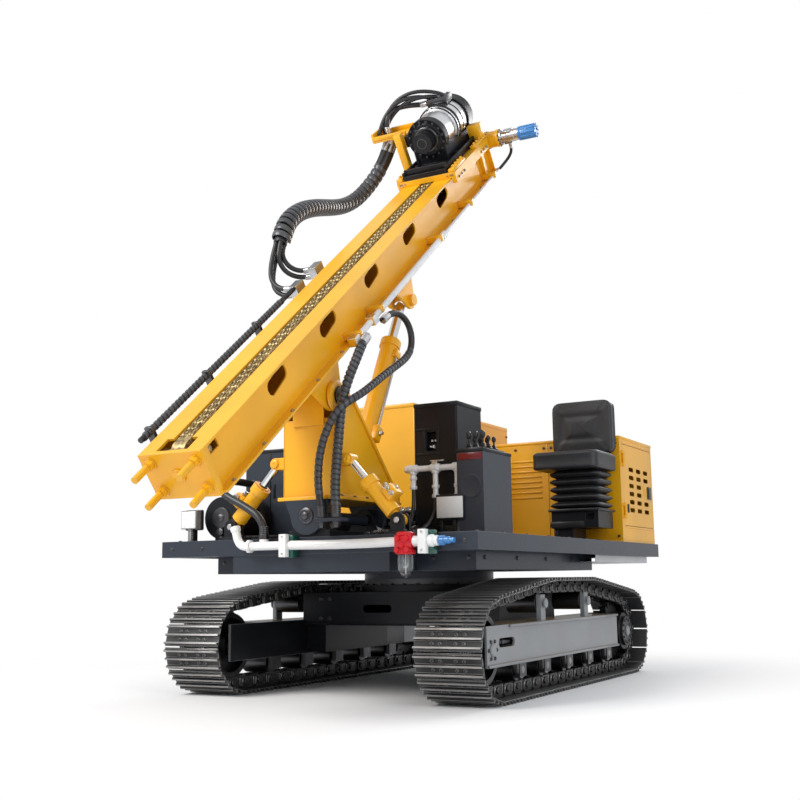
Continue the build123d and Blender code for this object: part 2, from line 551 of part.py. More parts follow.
flange = MAST_HALF + BACK_FLANGE
beam += block(-flange, flange, foot, MAST_TOP, MAST_BACK, MAST_BACK + 12)
beam -= block(WEB_HALF - MAST_WALL - 1, WEB_HALF + 1, MAST_FOOT + FOOT_WINDOW[0], MAST_FOOT + FOOT_WINDOW[1],
              MAST_FRONT - 70, MAST_FRONT - 20)
web_hole = Rot(HOLE_LEAN, 0, 0) * slot_x(0, 0, *WEB_HOLE, WEB_HALF - MAST_WALL - 1, WEB_HALF + 1)
for k in range(HOLE_COUNT):
    beam -= Pos(0, MAST_FOOT + HOLE_FIRST + k * HOLE_PITCH, MAST_FRONT - HOLE_DEEP) * web_hole
for x, z in ((-120, MAST_FRONT - 45), (120, MAST_FRONT - 45), (-120, MAST_BACK + 45), (120, MAST_BACK + 45)):
    beam += bar_y(x, z, STUD_R, MAST_FOOT - STUD_LENGTH, MAST_FOOT)
save("mast_beam", MAST_PLACE * beam)

hinge = None
for s in (-1, 1):
    a, b = sorted((s * 100, s * 128))
    plate = plate_x([(-170, MAST_BACK), (170, MAST_BACK), (62, -45), (-62, -45)], a, b) + bar_x(0, 0, 75, a, b)
    hinge = plate if hinge is None else hinge + plate
hinge -= bar_x(0, 0, 34 + FIT, -130, 130)
hinge += block(-128, 128, -170, 170, MAST_BACK - 12, MAST_BACK)
save("mast_hinge", MAST_PLACE * hinge)

along, off = LIFT_HEAD
bracket = None
for s in (-1, 1):
    a, b = sorted((s * 42, s * 58))
    plate = plate_x([(along - 200, MAST_BACK), (along + 150, MAST_BACK), (along + 45, off - 20),
                     (along - 45, off - 20)], a, b) + bar_x(along, off, 52, a, b)
    plate += bar_x(along, off, 34, *sorted((s * 58, s * 84)))
    bracket = plate if bracket is None else bracket + plate
save("lift_bracket", MAST_PLACE * bracket)

# chain drive at the top of the mast
drive_y, drive_z = MAST_TOP - 45, MAST_FRONT - 5
feed = block(MAST_HALF, MAST_HALF + 105, drive_y - 60, drive_y + 60, drive_z - 60, drive_z + 60)
feed += block(WEB_HALF, MAST_HALF, drive_y - 60, drive_y + 60, drive_z - 60, flange_z)
feed += bar_x(drive_y, drive_z, FEED_MOTOR_R, MAST_HALF + 105, MAST_HALF + 240)
feed += bar_x(drive_y, drive_z, 48, MAST_HALF + 240, MAST_HALF + 370)
feed += bar_z(MOTOR_PORT_X, drive_y, 15, drive_z - FEED_MOTOR_R - MOTOR_PORT, drive_z)
save("feed_drive", MAST_PLACE * feed)
# feed chain over a wheel at each end of the mast, wheels on shafts between the webs
chain_y0, chain_y1 = MAST_FOOT + 95, MAST_TOP - 80
wheel_r = 48.0
chain_z = MAST_FRONT - 6 - wheel_r
chain = (block(-CHAIN_HALF, CHAIN_HALF, chain_y0, chain_y1, chain_z - wheel_r, chain_z + wheel_r)
         + bar_x(chain_y0, chain_z, wheel_r, -CHAIN_HALF, CHAIN_HALF)
         + bar_x(chain_y1, chain_z, wheel_r, -CHAIN_HALF, CHAIN_HALF))
chain -= block(-CHAIN_HALF - 1, CHAIN_HALF + 1, chain_y0 + wheel_r, chain_y1 - wheel_r,
               chain_z - wheel_r + CHAIN_THICK, chain_z + wheel_r - CHAIN_THICK)
for y in (chain_y0, chain_y1):
    chain += bar_x(y, chain_z, 20, -WEB_HALF + MAST_WALL + FIT, WEB_HALF - MAST_WALL - FIT)
save("feed_chain", MAST_PLACE * chain)

# hard pipes along the right side, thick up to a union and thin above it
pipe_z = MAST_FRONT - PIPE_DEEP
pipe_x = SIDE_PLANE - 28
pipes = None
for r, start, end in ((PIPE_R, 1290, 2620), (THIN_PIPE_R, 2620, PIPE_TOP), (22, 2590, 2650)):
    length = bar_y(pipe_x, pipe_z, r, MAST_FOOT + start, MAST_FOOT + end)
    pipes = length if pipes is None else pipes + length
for along_foot in (1350, 1640, 2560, 3120, 3600):
    y = MAST_FOOT + along_foot
    pipes += block(WEB_HALF + FIT, pipe_x + 22, y - 16, y + 16, pipe_z - 8, pipe_z + 26)
for along_foot in (1300, 1530):
    y = MAST_FOOT + along_foot
    pipes += block(pipe_x - 22, SIDE_PLANE, y - 24, y + 24, pipe_z - 22, pipe_z + 24)
save("mast_pipes", MAST_PLACE * pipes)

# hose connections on the left side, the hose bundle's collar, and two hoses clipped along the lower half;
# the collar follows the bundle's first run and stops just under the head's hose bracket
def on_mast(x, along_foot, deep):
    """Point given across the mast, from its foot along it, and below its front face, mast lying level."""
    return Vector(x, MAST_FOOT + along_foot, MAST_FRONT - deep)


collar_axis = on_mast(*BUNDLE_AT) - on_mast(*BUNDLE_NEXT)
collar = extrude(Plane(origin=on_mast(*BUNDLE_AT) + collar_axis.normalized() * FIT, z_dir=collar_axis)
                 * Circle(COLLAR_R), 70)
collar -= block(2 * BRACKET_X, 0, 0, MAST_TOP, BRACKET_Z - FIT, BRACKET_Z + 200)
left_fittings = [collar]
fitting_neck = MAST_HALF + 42          # outside the carriage's guides
for along_foot in LEFT_FITTINGS:
    y = MAST_FOOT + along_foot
    fitting = block(-FITTING_X, -fitting_neck, y - 45, y + 45, MAST_FRONT - 75, MAST_FRONT + 20)
    fitting += block(-fitting_neck, -WEB_HALF - FIT, y - 30, y + 30, MAST_FRONT - 110, MAST_FRONT - 45)
    left_fittings.append(fitting)
save("mast_hose_fittings", *[MAST_PLACE * f for f in left_fittings])
fringe = None
for z in (MAST_FRONT - 66, MAST_FRONT - 108):
    run = bar_y(-MAST_HALF - 24, z, 20, MAST_FOOT + 150, MAST_FOOT + LEFT_FITTINGS[0] - 45 - FIT)
    fringe = run if fringe is None else fringe + run
for along_foot in (200, 700, 1200):
    y = MAST_FOOT + along_foot
    fringe += block(-MAST_HALF - 48, -WEB_HALF - FIT, y - 12, y + 12, MAST_FRONT - 132, MAST_FRONT - 42)
save("mast_side_hoses", MAST_PLACE * fringe)

# ================================================================ carriage and rotary head
c0 = MAST_FOOT + CARRIAGE_AT
c1 = c0 + CARRIAGE_LEN
sled_z0, sled_z1 = MAST_FRONT + 1, MAST_FRONT + 34
sled = block(-MAST_HALF - 36, MAST_HALF + 36, c0, c1, sled_z0, sled_z1)
for s in (-1, 1):
    a, b = sorted((s * (MAST_HALF + 6), s * (MAST_HALF + 36)))
    sled += block(a, b, c0, c1, MAST_FRONT - GUIDE_DEEP, sled_z0)
save("carriage", MAST_PLACE * sled)

axis_z = MAST_FRONT + HEAD_UP
head_z0 = sled_z1
housing = block(-150, 150, c0 + 10, c1 - 10, head_z0, head_z0 + 30)
for y0, y1 in SADDLES:
    housing += block(-110, 110, c0 + y0, c0 + y1, head_z0 + 30, axis_z - 60)
for y0, y1, r in BARREL:
    housing += bar_y(0, axis_z, r, c0 + y0, c0 + y1)
bracket_lug = SADDLES[0]
housing += block(-150, -90, c0 + bracket_lug[0], c0 + bracket_lug[1], axis_z - 24, axis_z + 45)
bore_end = BARREL[-1][1] - 20
housing -= bar_y(0, axis_z, SPINDLE_R + FIT, c0 + NOSE_AT, c0 + bore_end)
housing += block(-70, 70, c0 + 500, c0 + 600, axis_z + 95, axis_z + 170)
save("rotary_head", MAST_PLACE * housing)
spindle = bar_y(0, axis_z, SPINDLE_R, c0 + NOSE_AT + 20, c0 + bore_end - 30)
spindle += bar_y(0, axis_z, NOSE_R, c0 + NOSE_AT, c0 + NOSE_AT + NOSE_LENGTH)
save("spindle", MAST_PLACE * spindle)
arm = block(BRACKET_X, -150 - FIT, c0 + 240, c0 + 400, BRACKET_Z, BRACKET_Z + 15)
arm += block(-175, -150 - FIT, c0 + bracket_lug[0], c0 + 260, BRACKET_Z - 60, BRACKET_Z + 15)
arm += block(BRACKET_X, BRACKET_X + 15, c0 + 240, c0 + 400, BRACKET_Z, BRACKET_Z + 60)
save("hose_bracket", MAST_PLACE * arm)

# ================================================================ deck equipment
def shell(x0, x1, y0, y1, z0, z1, wall):
    """Open-bottomed sheet cover."""
    return block(x0, x1, y0, y1, z0, z1) - block(x0 + wall, x1 - wall, y0 + wall, y1 - wall, z0 - 1, z1 - wall)


SHEET = 4.0
HOOD_X0, HOOD_X1 = -60.0, 910.0
HOOD_Y0, HOOD_Y1 = 885.0, 1562.0
HOOD_TOP = 1470.0
DOOR_Y0, DOOR_Y1 = 930.0, 1535.0
DOOR_Z0, DOOR_Z1 = 905.0, 1425.0
HINGE_X, KNUCKLE_R = HOOD_X1 + 9.0, 8.5
HINGE_Z = (1000.0, 1330.0)
hood = shell(HOOD_X0, HOOD_X1, HOOD_Y0, HOOD_Y1, DECK_TOP, HOOD_TOP, SHEET)
hood -= block(HOOD_X1 - SHEET - 1, HOOD_X1 + 1, DOOR_Y0, DOOR_Y1, DOOR_Z0, DOOR_Z1)
for z in HINGE_Z:
    for z0, z1 in ((z - 50, z - 30 - FIT), (z + 30 + FIT, z + 50)):
        hood += bar_z(HINGE_X, DOOR_Y0, KNUCKLE_R, z0, z1)
        hood += block(HOOD_X1 - SHEET, HINGE_X - 2, DOOR_Y0 - 22, DOOR_Y0, z0, z1)
save("engine_cover", hood)
door = block(HOOD_X1 - SHEET, HOOD_X1, DOOR_Y0 + 3, DOOR_Y1 - 3, DOOR_Z0 + 3, DOOR_Z1 - 3)
VENT_ROWS, VENT_COLUMNS = 6, 3
for row in range(VENT_ROWS):
    for col in range(VENT_COLUMNS):
        y, z = 1105 + col * 155, 1270 - row * 52
        door -= slot_x(y, z, 100, 28, HOOD_X1 - SHEET - 1, HOOD_X1 + 1)
for z in HINGE_Z:
    door += bar_z(HINGE_X, DOOR_Y0, KNUCKLE_R, z - 30, z + 30)
    door += block(HOOD_X1 - SHEET, HINGE_X - 2, DOOR_Y0 + 3, DOOR_Y0 + 30, z - 30, z + 30)
    door += block(HOOD_X1, HINGE_X - 2, DOOR_Y0, DOOR_Y0 + 4, z - 30, z + 30)
save("engine_door", door)
save("engine", block(150, 750, 1000, 1480, DECK_TOP + 60, DECK_TOP + 560)
     + block(200, 260, 1020, 1460, DECK_TOP + FIT, DECK_TOP + 60)
     + block(640, 700, 1020, 1460, DECK_TOP + FIT, DECK_TOP + 60))

save("tank_hood", shell(-750, -125, 70, 1500, DECK_TOP, 1664, SHEET))
cab = shell(240, 500, -600, -300, DECK_TOP, 1530, SHEET)
cab += block(300, 382, -598, -545, 1260, 1385)
cab -= block(310, 372, -601, -549, 1270, 1375)
save("control_cabinet", cab)
save("console", shell(550, 700, -720, -360, DECK_TOP, 1250, SHEET))
save("lever_bank", block(565, 690, -690, -400, 1250 + FIT, 1262) + block(580, 600, -660, -640, 1262, 1350)
     + block(620, 640, -660, -640, 1262, 1350) + block(660, 680, -660, -640, 1262, 1350))
save("left_cabinet", shell(-700, -380, -860, -420, DECK_TOP, 1310, SHEET))
tank = bar_y(-627, DECK_TOP + 122, 112, -1170, -872)
for y in (-1130, -960):
    tank += block(-700, -554, y, y + 30, DECK_TOP, DECK_TOP + 60)
save("air_tank", tank)
save("work_lamp", block(-805, -705, -1285, -1245, 866, 962) + block(-766, -744, -1276, -1254, DECK_TOP, 866))

# seat
SEAT_X, SEAT_Y = 720.0, 680.0
seat_base = block(SEAT_X - 145, SEAT_X - 20, SEAT_Y - 110, SEAT_Y + 110, DECK_TOP, 885)
seat_base += block(SEAT_X - 150, SEAT_X + 150, SEAT_Y - 135, SEAT_Y + 135, 885, 1000)
seat_base -= block(SEAT_X + 70, SEAT_X + 125, SEAT_Y - 136, SEAT_Y - 100, 930, 970)
save("seat_base", seat_base)
save("seat_bellows", block(SEAT_X - 165, SEAT_X + 165, SEAT_Y - 150, SEAT_Y + 150, 1000 + FIT, 1240))
save("seat_cushion", block(SEAT_X - 240, SEAT_X + 190, SEAT_Y - 240, SEAT_Y + 180, 1240 + FIT, 1350))
save("seat_back", block(SEAT_X - 220, SEAT_X + 185, SEAT_Y + 85, SEAT_Y + 180, 1350 + FIT, 1700))

# compressed-air line across the front
LINE_Y, LINE_Z, LINE_R = -1340.0, 762.0, 23.0
LUB_X, LUB_R = 580.0, 45.0
LINE_BEND = -300.0             # where the line turns up at its left end
TEE_X, TEE_Y, TEE_Z = -232.0, -1332.0, 796.0
line = bar_x(LINE_Y, LINE_Z, LINE_R, LINE_BEND, LUB_X - LUB_R - FIT)
line += Pos(LINE_BEND, LINE_Y, LINE_Z) * Sphere(LINE_R)
line += Pos(LINE_BEND, LINE_Y, LINE_Z) * Rot(0, -43, 0) * Pos(0, 0, 75) * Cylinder(LINE_R, 150)
line += bar_z(TEE_X, TEE_Y, 23, LINE_Z, TEE_Z - FIT)
line_end = bar_x(LINE_Y, LINE_Z, LINE_R, LUB_X + LUB_R + FIT, 770) + bar_x(LINE_Y, LINE_Z, 16, 770, 835)
save("air_line", line, line_end)
save("lubricator", bar_z(LUB_X, LINE_Y, LUB_R, LINE_Z - 62, LINE_Z + 44)
     + bar_z(LUB_X, LINE_Y, LUB_R - 8, 592, LINE_Z - 62))
clamps = []
for x0, x1 in ((-115, -73), (660, 702)):
    clamp = block(x0, x1, LINE_Y - 34, DECK_Y0, LINE_Z - 60, LINE_Z + 55)
    clamps.append(clamp - bar_x(LINE_Y, LINE_Z, LINE_R + FIT, x0 - 1, x1 + 1))
save("line_clamps", *clamps)
manifold = bar_x(-672, 1170, 16, 220, 550 - FIT)
for x, r, low in ((267, 14, 1060), (400, 14, 1010), (530, 16, 1010)):
    manifold += bar_z(x, -672, r, low, 1170)
save("air_manifold", manifold)

# shallow tray under the power unit, hung from the deck's beams
TRAY = [(300, UNDER_Y1 + 5), (UNDER_HALF + 8, UNDER_Y1 + 5), (UNDER_HALF + 8, 420), (885, 420), (885, 1440),
        (300, 1440)]
tray = plate_z(TRAY, 676, 679) + block(882, 885, 420, 1440, 679, beam_z - FIT)
tray += block(300, 303, UNDER_Y1 + 5, 1440, 679, beam_z - FIT)
save("engine_tray", tray)

# ================================================================ free hoses
def hose(name, diameter, route):
    """A free hose of round section: straight runs joined by arcs as large as the runs allow."""
    points = [Vector(*point) for point in route]
    runs = [b - a for a, b in zip(points, points[1:])]
    radii = [0.45 * min(a.length, b.length) / tan(radians(a.get_angle(b)) / 2)
             for a, b in zip(runs, runs[1:])]
    path = FilletPolyline(*points, radius=radii)
    tube = sweep(Plane(origin=path @ 0, z_dir=path % 0) * Circle(diameter / 2), path=path)
    share = tube.volume / (pi * diameter ** 2 / 4 * path.length)
    print(f"{name}: length {path.length:.0f}, smallest radius {min(radii):.0f} for diameter "
          f"{diameter:.0f}, volume over section times length {share:.4f}")
    save(name, tube)


def beside_mast(x, along_foot, deep):
    """Point given across the mast, from its foot along it, and below its front face, mast at rest."""
    return tuple((MAST_PLACE * Pos(*on_mast(x, along_foot, deep))).position)


hose("head_hose_bundle", 80.0, [beside_mast(*point) for point in (
    BUNDLE_AT, BUNDLE_NEXT, (-428, 3290, -66), (-482, 3190, -14), (-518, 3068, 10), (-532, 2925, -8),
    (-522, 2775, -56), (-496, 2620, -116), (-474, 2475, -170), (-462, 2345, -208), (-454, 2230, -226),
    (-447, 2124, -225), (-440, 2034, -201), (-442, 1960, -156))])
hose("branch_hose_1", 28.0, [beside_mast(*point) for point in (
    (-426, 1967.7, -142), (-427.1, 1926.5, -116.9), (-414.6, 1897, -80.7), (-388.8, 1883.7, -42.2),
    (-352.7, 1887, -10.4), (-308.7, 1900, 5), (-FITTING_X - FIT, 1900, 5))])
hose("branch_hose_2", 28.0, [beside_mast(*point) for point in (
    (-426, 1951.1, -169.3), (-427.4, 1898.8, -137.4), (-427.9, 1866.7, -84.7), (-412, 1862.3, -25.2),
    (-374.9, 1879.2, 21.2), (-321.9, 1900, 45), (-FITTING_X - FIT, 1900, 45))])
hose("branch_hose_3", 28.0, [beside_mast(*point) for point in (
    (-458, 1968.4, -142.4), (-459.4, 1917.1, -111.2), (-458.2, 1865.9, -80), (-454.1, 1814.8, -48.8),
    (-443.3, 1764.6, -18), (-419.5, 1717.9, 10.6), (-376.3, 1683, 32), (-320, 1662, 45),
    (-FITTING_X - FIT, 1662, 45))])
hose("branch_hose_4", 28.0, [beside_mast(*point) for point in (
    (-458, 1951.7, -169.7), (-459.3, 1903, -140.1), (-457.8, 1854.1, -110.5), (-452.6, 1805.5, -81.2),
    (-439.5, 1758, -52.6), (-413.3, 1714.8, -26.6), (-370.6, 1682.8, -7.4), (-317.1, 1662, 5),
    (-FITTING_X - FIT, 1662, 5))])
hose("head_loop_hose", 34.0, [beside_mast(*point) for point in (
    (-320, 3420, MAST_FRONT - BRACKET_Z - 15 - FIT), (-320, 3420, -318), (-313, 3434, -361),
    (-297, 3462, -391), (-273, 3497, -404), (-241, 3532, -404), (-203, 3563, -396), (-160, 3587, -384),
    (-114, 3600, -372), (-70 - FIT, 3600, -372))])
hose("feed_motor_hose", 20.0, [beside_mast(*point) for point in (
    (MOTOR_PORT_X, 3785, 5 + FEED_MOTOR_R + MOTOR_PORT + FIT), (MOTOR_PORT_X, 3785, 94.6), (305.5, 3792.7, 134.3),
    (270.3, 3792.8, 165.7), (238.5, 3767.8, 189.2), (222, 3725.5, PIPE_DEEP),
    (222, PIPE_TOP + FIT, PIPE_DEEP))])
hose("supply_hose", 36.0, (
    (SIDE_PLANE + 18 + FIT, -985, 1925), (SIDE_PLANE + 18 + FIT, -940, 1958), (274, -885, 1985),
    (284, -818, 1991),
    (290, -749, 1957), (293, -713, 1890), (293, -724, 1814), (291, -780, 1756), (288, -870, 1704),
    (284, -960, 1655), (281, -1050, 1602), (280, -1140, 1550), (279, -1215, 1508), (266, -1290, 1468),
    (240, -1333, 1437), (202, -1352, 1394), (166, -1353, 1335), (130, -1350, 1262), (106, -1346, 1175),
    (98, -1343, 1085), (103, -1342, 1005), (116, -1342, 945), (116, -1342, HOSE_END_Z + FIT)))
hose("return_hose", 42.0, (
    (SIDE_PLANE + 21 + FIT, -1150, 1812), (SIDE_PLANE + 21 + FIT, -1185, 1780), (274, -1222, 1735),
    (270, -1258, 1672), (250, -1284, 1595), (224, -1296, 1510), (204, -1298, 1420), (194, -1298, 1325),
    (188, -1304, 1225), (186, -1317, 1125), (189, -1332, 1030), (200, -1340, 950),
    (200, -1340, HOSE_END_Z + FIT)))
hose("deck_hose", 40.0, (
    (-610, -860 - FIT, 1120), (-610, -930, 1120), (-610, -1010, 1123), (-608, -1095, 1124), (-602, -1175, 1112),
    (-582, -1243, 1092), (-542, -1290, 1062), (-492, -1313, 1030), (-439, -1320, 1003), (-385, -1324, 979),
    (-330, -1328, 950), (-278, -1331, 920), (-248, -1332, 884), (TEE_X, -1332, 840), (TEE_X, TEE_Y, TEE_Z)))
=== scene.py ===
# %% [markdown]
# # A compact piling rig
# The machine's frames, tracks, mast and covers come from CAD as fixed shapes. This script gives them their
# finishes and adds what makes them look real: bolts, seams, hose guards, bellows, glass and wear.
# Everything is in metres: the front of the machine faces -Y, its right side is +X and +Z is up.

# %% Load the frame
import json
import math
import bmesh
import bpy
import numpy as np
from mathutils import Matrix, Vector


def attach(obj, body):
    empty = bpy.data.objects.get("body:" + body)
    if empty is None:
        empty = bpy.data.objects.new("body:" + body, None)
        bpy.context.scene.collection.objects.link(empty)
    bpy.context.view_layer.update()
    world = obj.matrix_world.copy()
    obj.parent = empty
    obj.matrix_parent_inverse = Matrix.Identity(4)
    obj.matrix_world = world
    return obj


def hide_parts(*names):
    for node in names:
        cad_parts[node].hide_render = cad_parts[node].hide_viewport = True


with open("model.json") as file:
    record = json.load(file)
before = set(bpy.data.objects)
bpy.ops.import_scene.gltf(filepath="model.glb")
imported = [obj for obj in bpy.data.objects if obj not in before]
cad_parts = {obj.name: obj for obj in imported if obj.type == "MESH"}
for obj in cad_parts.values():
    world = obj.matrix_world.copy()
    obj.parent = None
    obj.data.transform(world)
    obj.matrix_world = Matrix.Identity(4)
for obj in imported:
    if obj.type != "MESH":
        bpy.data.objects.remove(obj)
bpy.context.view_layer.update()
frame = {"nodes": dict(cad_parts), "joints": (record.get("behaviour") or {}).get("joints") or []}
nodes = frame["nodes"]
print(len(nodes), "CAD nodes,", len(frame["joints"]), "joints")

# %% [markdown]
# The mast leans at 39 degrees, and most of its trim is easier to place on its own axes. Two small functions
# turn a place across, along and above the mast into the machine's frame. A matrix could do the same, but a
# plain rotation of two columns shows what happens to each number.

# %% Places on the mast
MAST_LEAN = math.radians(39.0)
MAST_PIVOT = (-1.24, 1.5)  # Y and Z of the pin the mast pitches on
MAST_FOOT, MAST_FACE = -1.087, 0.391  # lower end and front face, from that pin


def turn_up(points):
    """Rotation about X by the mast's lean: y' = y cos - z sin, z' = y sin + z cos."""
    p = np.asarray(points, float)
    c, s = math.cos(MAST_LEAN), math.sin(MAST_LEAN)
    return np.stack([p[..., 0], p[..., 1] * c - p[..., 2] * s, p[..., 1] * s + p[..., 2] * c], -1)


def on_mast(points):
    """Across, along from the foot and up from the front face, to the machine's frame."""
    p = np.asarray(points, float) + (0.0, MAST_FOOT, MAST_FACE)
    return turn_up(p) + (0.0, *MAST_PIVOT)


print("mast foot at", on_mast((0, 0, 0)).round(3), "and top at", on_mast((0, 3.83, 0)).round(3))

# %% [markdown]
# The camera stands low, in front of the machine and to its right, with a normal lens, and looks slightly up.
# Its place was solved from the machine's own straight edges, so the perspective of long members is right.

# %% Camera
CAMERA_AT = Vector((3.0866, -5.9013, 0.581))
YAW, TILT, ROLL = (math.radians(a) for a in (28.969, 9.24, -0.7745))
forward = Vector((-math.sin(YAW) * math.cos(TILT), math.cos(YAW) * math.cos(TILT), math.sin(TILT)))
level = Vector((math.cos(YAW), math.sin(YAW), 0.0))
above = level.cross(forward)
right = level * math.cos(ROLL) + above * math.sin(ROLL)
up = above * math.cos(ROLL) - level * math.sin(ROLL)

lens = bpy.data.cameras.new("camera")
lens.sensor_width = 36.0
lens.lens = 50.05
lens.clip_end = 200.0
camera = bpy.data.objects.new("camera", lens)
bpy.context.scene.collection.objects.link(camera)
camera.matrix_world = Matrix([(right[k], up[k], -forward[k], CAMERA_AT[k]) for k in range(3)]
    + [(0, 0, 0, 1)])
bpy.context.scene.camera = camera
print("camera", tuple(round(c, 2) for c in CAMERA_AT))

# %% [markdown]
# Finishes are written as sums and products of patterns. Blender does this with Math nodes, which are slow to
# read in a long list, so one small class wraps a node's output and turns + - * into those nodes.

# %% A socket that can be added and multiplied
class Value:
    """One output of a node. Arithmetic on it adds Math nodes to the same material."""

    def __init__(self, paint, socket):
        self.paint, self.socket = paint, socket

    def math(self, operation, *values):
        return self.paint.node("Math", {"operation": operation}, dict(enumerate(values)))

    def __add__(self, other): return self.math("ADD", self, other)
    def __mul__(self, other): return self.math("MULTIPLY", self, other)
    def __rsub__(self, other): return self.math("SUBTRACT", other, self)
    __radd__, __rmul__ = __add__, __mul__

    def fade(self, low, high):
        """0 below low, 1 above high, smooth between them; low may be the larger."""
        return self.paint.node("MapRange", {"interpolation_type": "SMOOTHSTEP"},
            {"Value": self, "From Min": low, "From Max": high})

    def __getitem__(self, axis):
        return self.paint.node("SeparateXYZ", {}, {0: self}, axis)


class Paint:
    def __init__(self, name):
        self.material = bpy.data.materials.new(name)
        self.material.use_nodes = True
        self.tree = self.material.node_tree
        self.shader = self.tree.nodes["Principled BSDF"]
        self.place = self.node("TexCoord", {}, {}, "Object")
        self.facing = self.node("TexCoord", {}, {}, "Normal")

    def feed(self, socket, value):
        if isinstance(value, Value):
            self.tree.links.new(value.socket, socket)
        elif value is not None:
            socket.default_value = (*value, 1.0) if socket.type == "RGBA" and len(value) == 3 else value

    def node(self, kind, settings=None, values=None, output=0):
        """Any node: its settings first, then the values or links of its sockets, then the output wanted."""
        fresh = self.tree.nodes.new("ShaderNode" + kind)
        for key, setting in (settings or {}).items():
            setattr(fresh, key, setting)
        for key, value in (values or {}).items():
            self.feed(fresh.inputs[key], value)
        return Value(self, fresh.outputs[output])

    def noise(self, scale, detail=3.0):
        """Cloudy pattern from 0 to 1, with a number of lumps per metre."""
        return self.node("TexNoise", {},
            {"Vector": self.place, "Scale": scale, "Detail": detail, "Roughness": 0.5})

    def blend(self, share, a, b):
        """Colour a where share is 0 and b where it is 1."""
        return self.node("Mix", {"data_type": "RGBA"}, {0: share, 6: a, 7: b}, 2)

    def soft_edge(self, radius):
        """Surface direction as if every edge were rounded by a radius."""
        return self.node("Bevel", {"samples": 6}, {"Radius": radius})

    def edges(self, soft):
        """1 on worn edges and 0 on flats: how far the rounded direction turns away from the true one."""
        true = self.node("NewGeometry", {}, {}, "True Normal")
        along = self.node("VectorMath", {"operation": "DOT_PRODUCT"}, {0: soft, 1: true}, "Value")
        return (1.0 - along).fade(0.004, 0.1)

    def bump(self, height, distance, normal=None):
        return self.node("Bump", {},
            {"Height": height, "Distance": distance, "Strength": 1.0, "Normal": normal})

    def finish(self, **sockets):
        for key, value in sockets.items():
            self.feed(self.shader.inputs[key.replace("_", " ")], value)
        return self.material


print("material helpers ready")

# %% [markdown]
# Enamel on heavy machines is sprayed thick: it has a fine orange-peel ripple, pools a little darker in places
# and thins on edges. A Bevel node rounds the shading of every cut edge, which is what makes sheet metal read
# as folded plate, and the same node tells where an edge is, so wear can start there.

# %% Painted steel
DUST = (0.305, 0.195, 0.075)


def enamel(name, colour, worn, rough, dust=0.0, wear=0.25, radius=0.004, coat=0.3, peel=0.00008, gloss=0.5):
    """Sprayed enamel: colour pools by noise, edges fade to worn, and dust lies on what faces up."""
    p = Paint(name)
    soft = p.soft_edge(radius)
    broad, fine = p.noise(2.3, 4.0), p.noise(38.0, 3.0)
    tone = p.blend(broad.fade(0.25, 0.8), [c * 0.9 for c in colour], [min(1.0, c * 1.08) for c in colour])
    rubbed = p.edges(soft) * (fine + 0.15).fade(0.42, 0.75) * wear
    tone = p.blend(rubbed, tone, worn)
    shine = fine * 0.1 + (rough - 0.05) + rubbed * 0.2
    if dust:
        lying = p.facing[2].fade(0.55, 0.95) * (p.noise(5.5, 6.0) + 0.1).fade(0.3, 0.75) * dust
        tone = p.blend(lying, tone, DUST)
        shine = shine + lying * 0.4
    return p.finish(Base_Color=tone, Roughness=shine, Normal=p.bump(p.noise(420.0, 2.0), peel, soft),
        Coat_Weight=coat, Coat_Roughness=0.12, Specular_IOR_Level=gloss)


yellow = enamel("yellow_enamel", (0.86, 0.42, 0.006), (0.9, 0.6, 0.16), 0.34, wear=0.3, coat=0.15)
deck_paint = enamel("deck_enamel", (0.024, 0.031, 0.045), (0.13, 0.14, 0.15), 0.34, dust=0.18, wear=0.4,
    coat=0.1, gloss=0.35)
black_paint = enamel("black_enamel", (0.008, 0.009, 0.012), (0.07, 0.07, 0.08), 0.36, dust=0.06, wear=0.4,
    coat=0.05, gloss=0.25)
grey_paint = enamel("undercarriage_enamel", (0.235, 0.245, 0.255), (0.36, 0.36, 0.35), 0.42, dust=0.95,
    wear=0.5)
pale_sheet = enamel("pale_sheet_metal", (0.55, 0.56, 0.57), (0.4, 0.4, 0.4), 0.38, wear=0.3, coat=0.1)
white_paint = enamel("white_enamel", (0.8, 0.81, 0.82), (0.55, 0.55, 0.53), 0.28, wear=0.2, radius=0.003)
green_clamp = enamel("green_enamel", (0.006, 0.085, 0.06), (0.05, 0.16, 0.12), 0.35, wear=0.2, radius=0.002)
blue_metal = enamel("blue_enamel", (0.035, 0.2, 0.5), (0.18, 0.38, 0.62), 0.33, wear=0.3, radius=0.002)
print("painted finishes ready")

# %% [markdown]
# Bare metal comes in four kinds here: ground and plated rods that mirror the room, turned fittings with a
# satin grain, track shoes that are black in their hollows and bright where they rub, and an oiled chain.

# %% Bare metal
def metal(name, colour, rough, grain=0.0, radius=0.002, dirt=0.0):
    """Metal whose roughness wanders with a fine noise, with soft edges and some dark dirt."""
    p = Paint(name)
    soft = p.soft_edge(radius)
    grit = p.noise(60.0, 4.0)
    tone = p.blend(p.noise(9.0, 5.0).fade(0.45, 0.8) * dirt, colour, [c * 0.25 for c in colour])
    return p.finish(Base_Color=tone, Metallic=1.0, Roughness=grit * 0.14 + (rough - 0.07),
        Normal=p.bump(grit, grain, soft))


chrome = metal("chrome_plate", (0.8, 0.8, 0.81), 0.14, 0.00002)
steel = metal("turned_steel", (0.56, 0.56, 0.57), 0.32, 0.00006, dirt=0.35)
dark_steel = metal("blackened_steel", (0.1, 0.1, 0.105), 0.38, 0.00008, dirt=0.3)
satin = metal("satin_sleeves", (0.86, 0.86, 0.87), 0.3)
brown_steel = metal("bronze_housing", (0.36, 0.3, 0.24), 0.4, 0.00008, dirt=0.4)


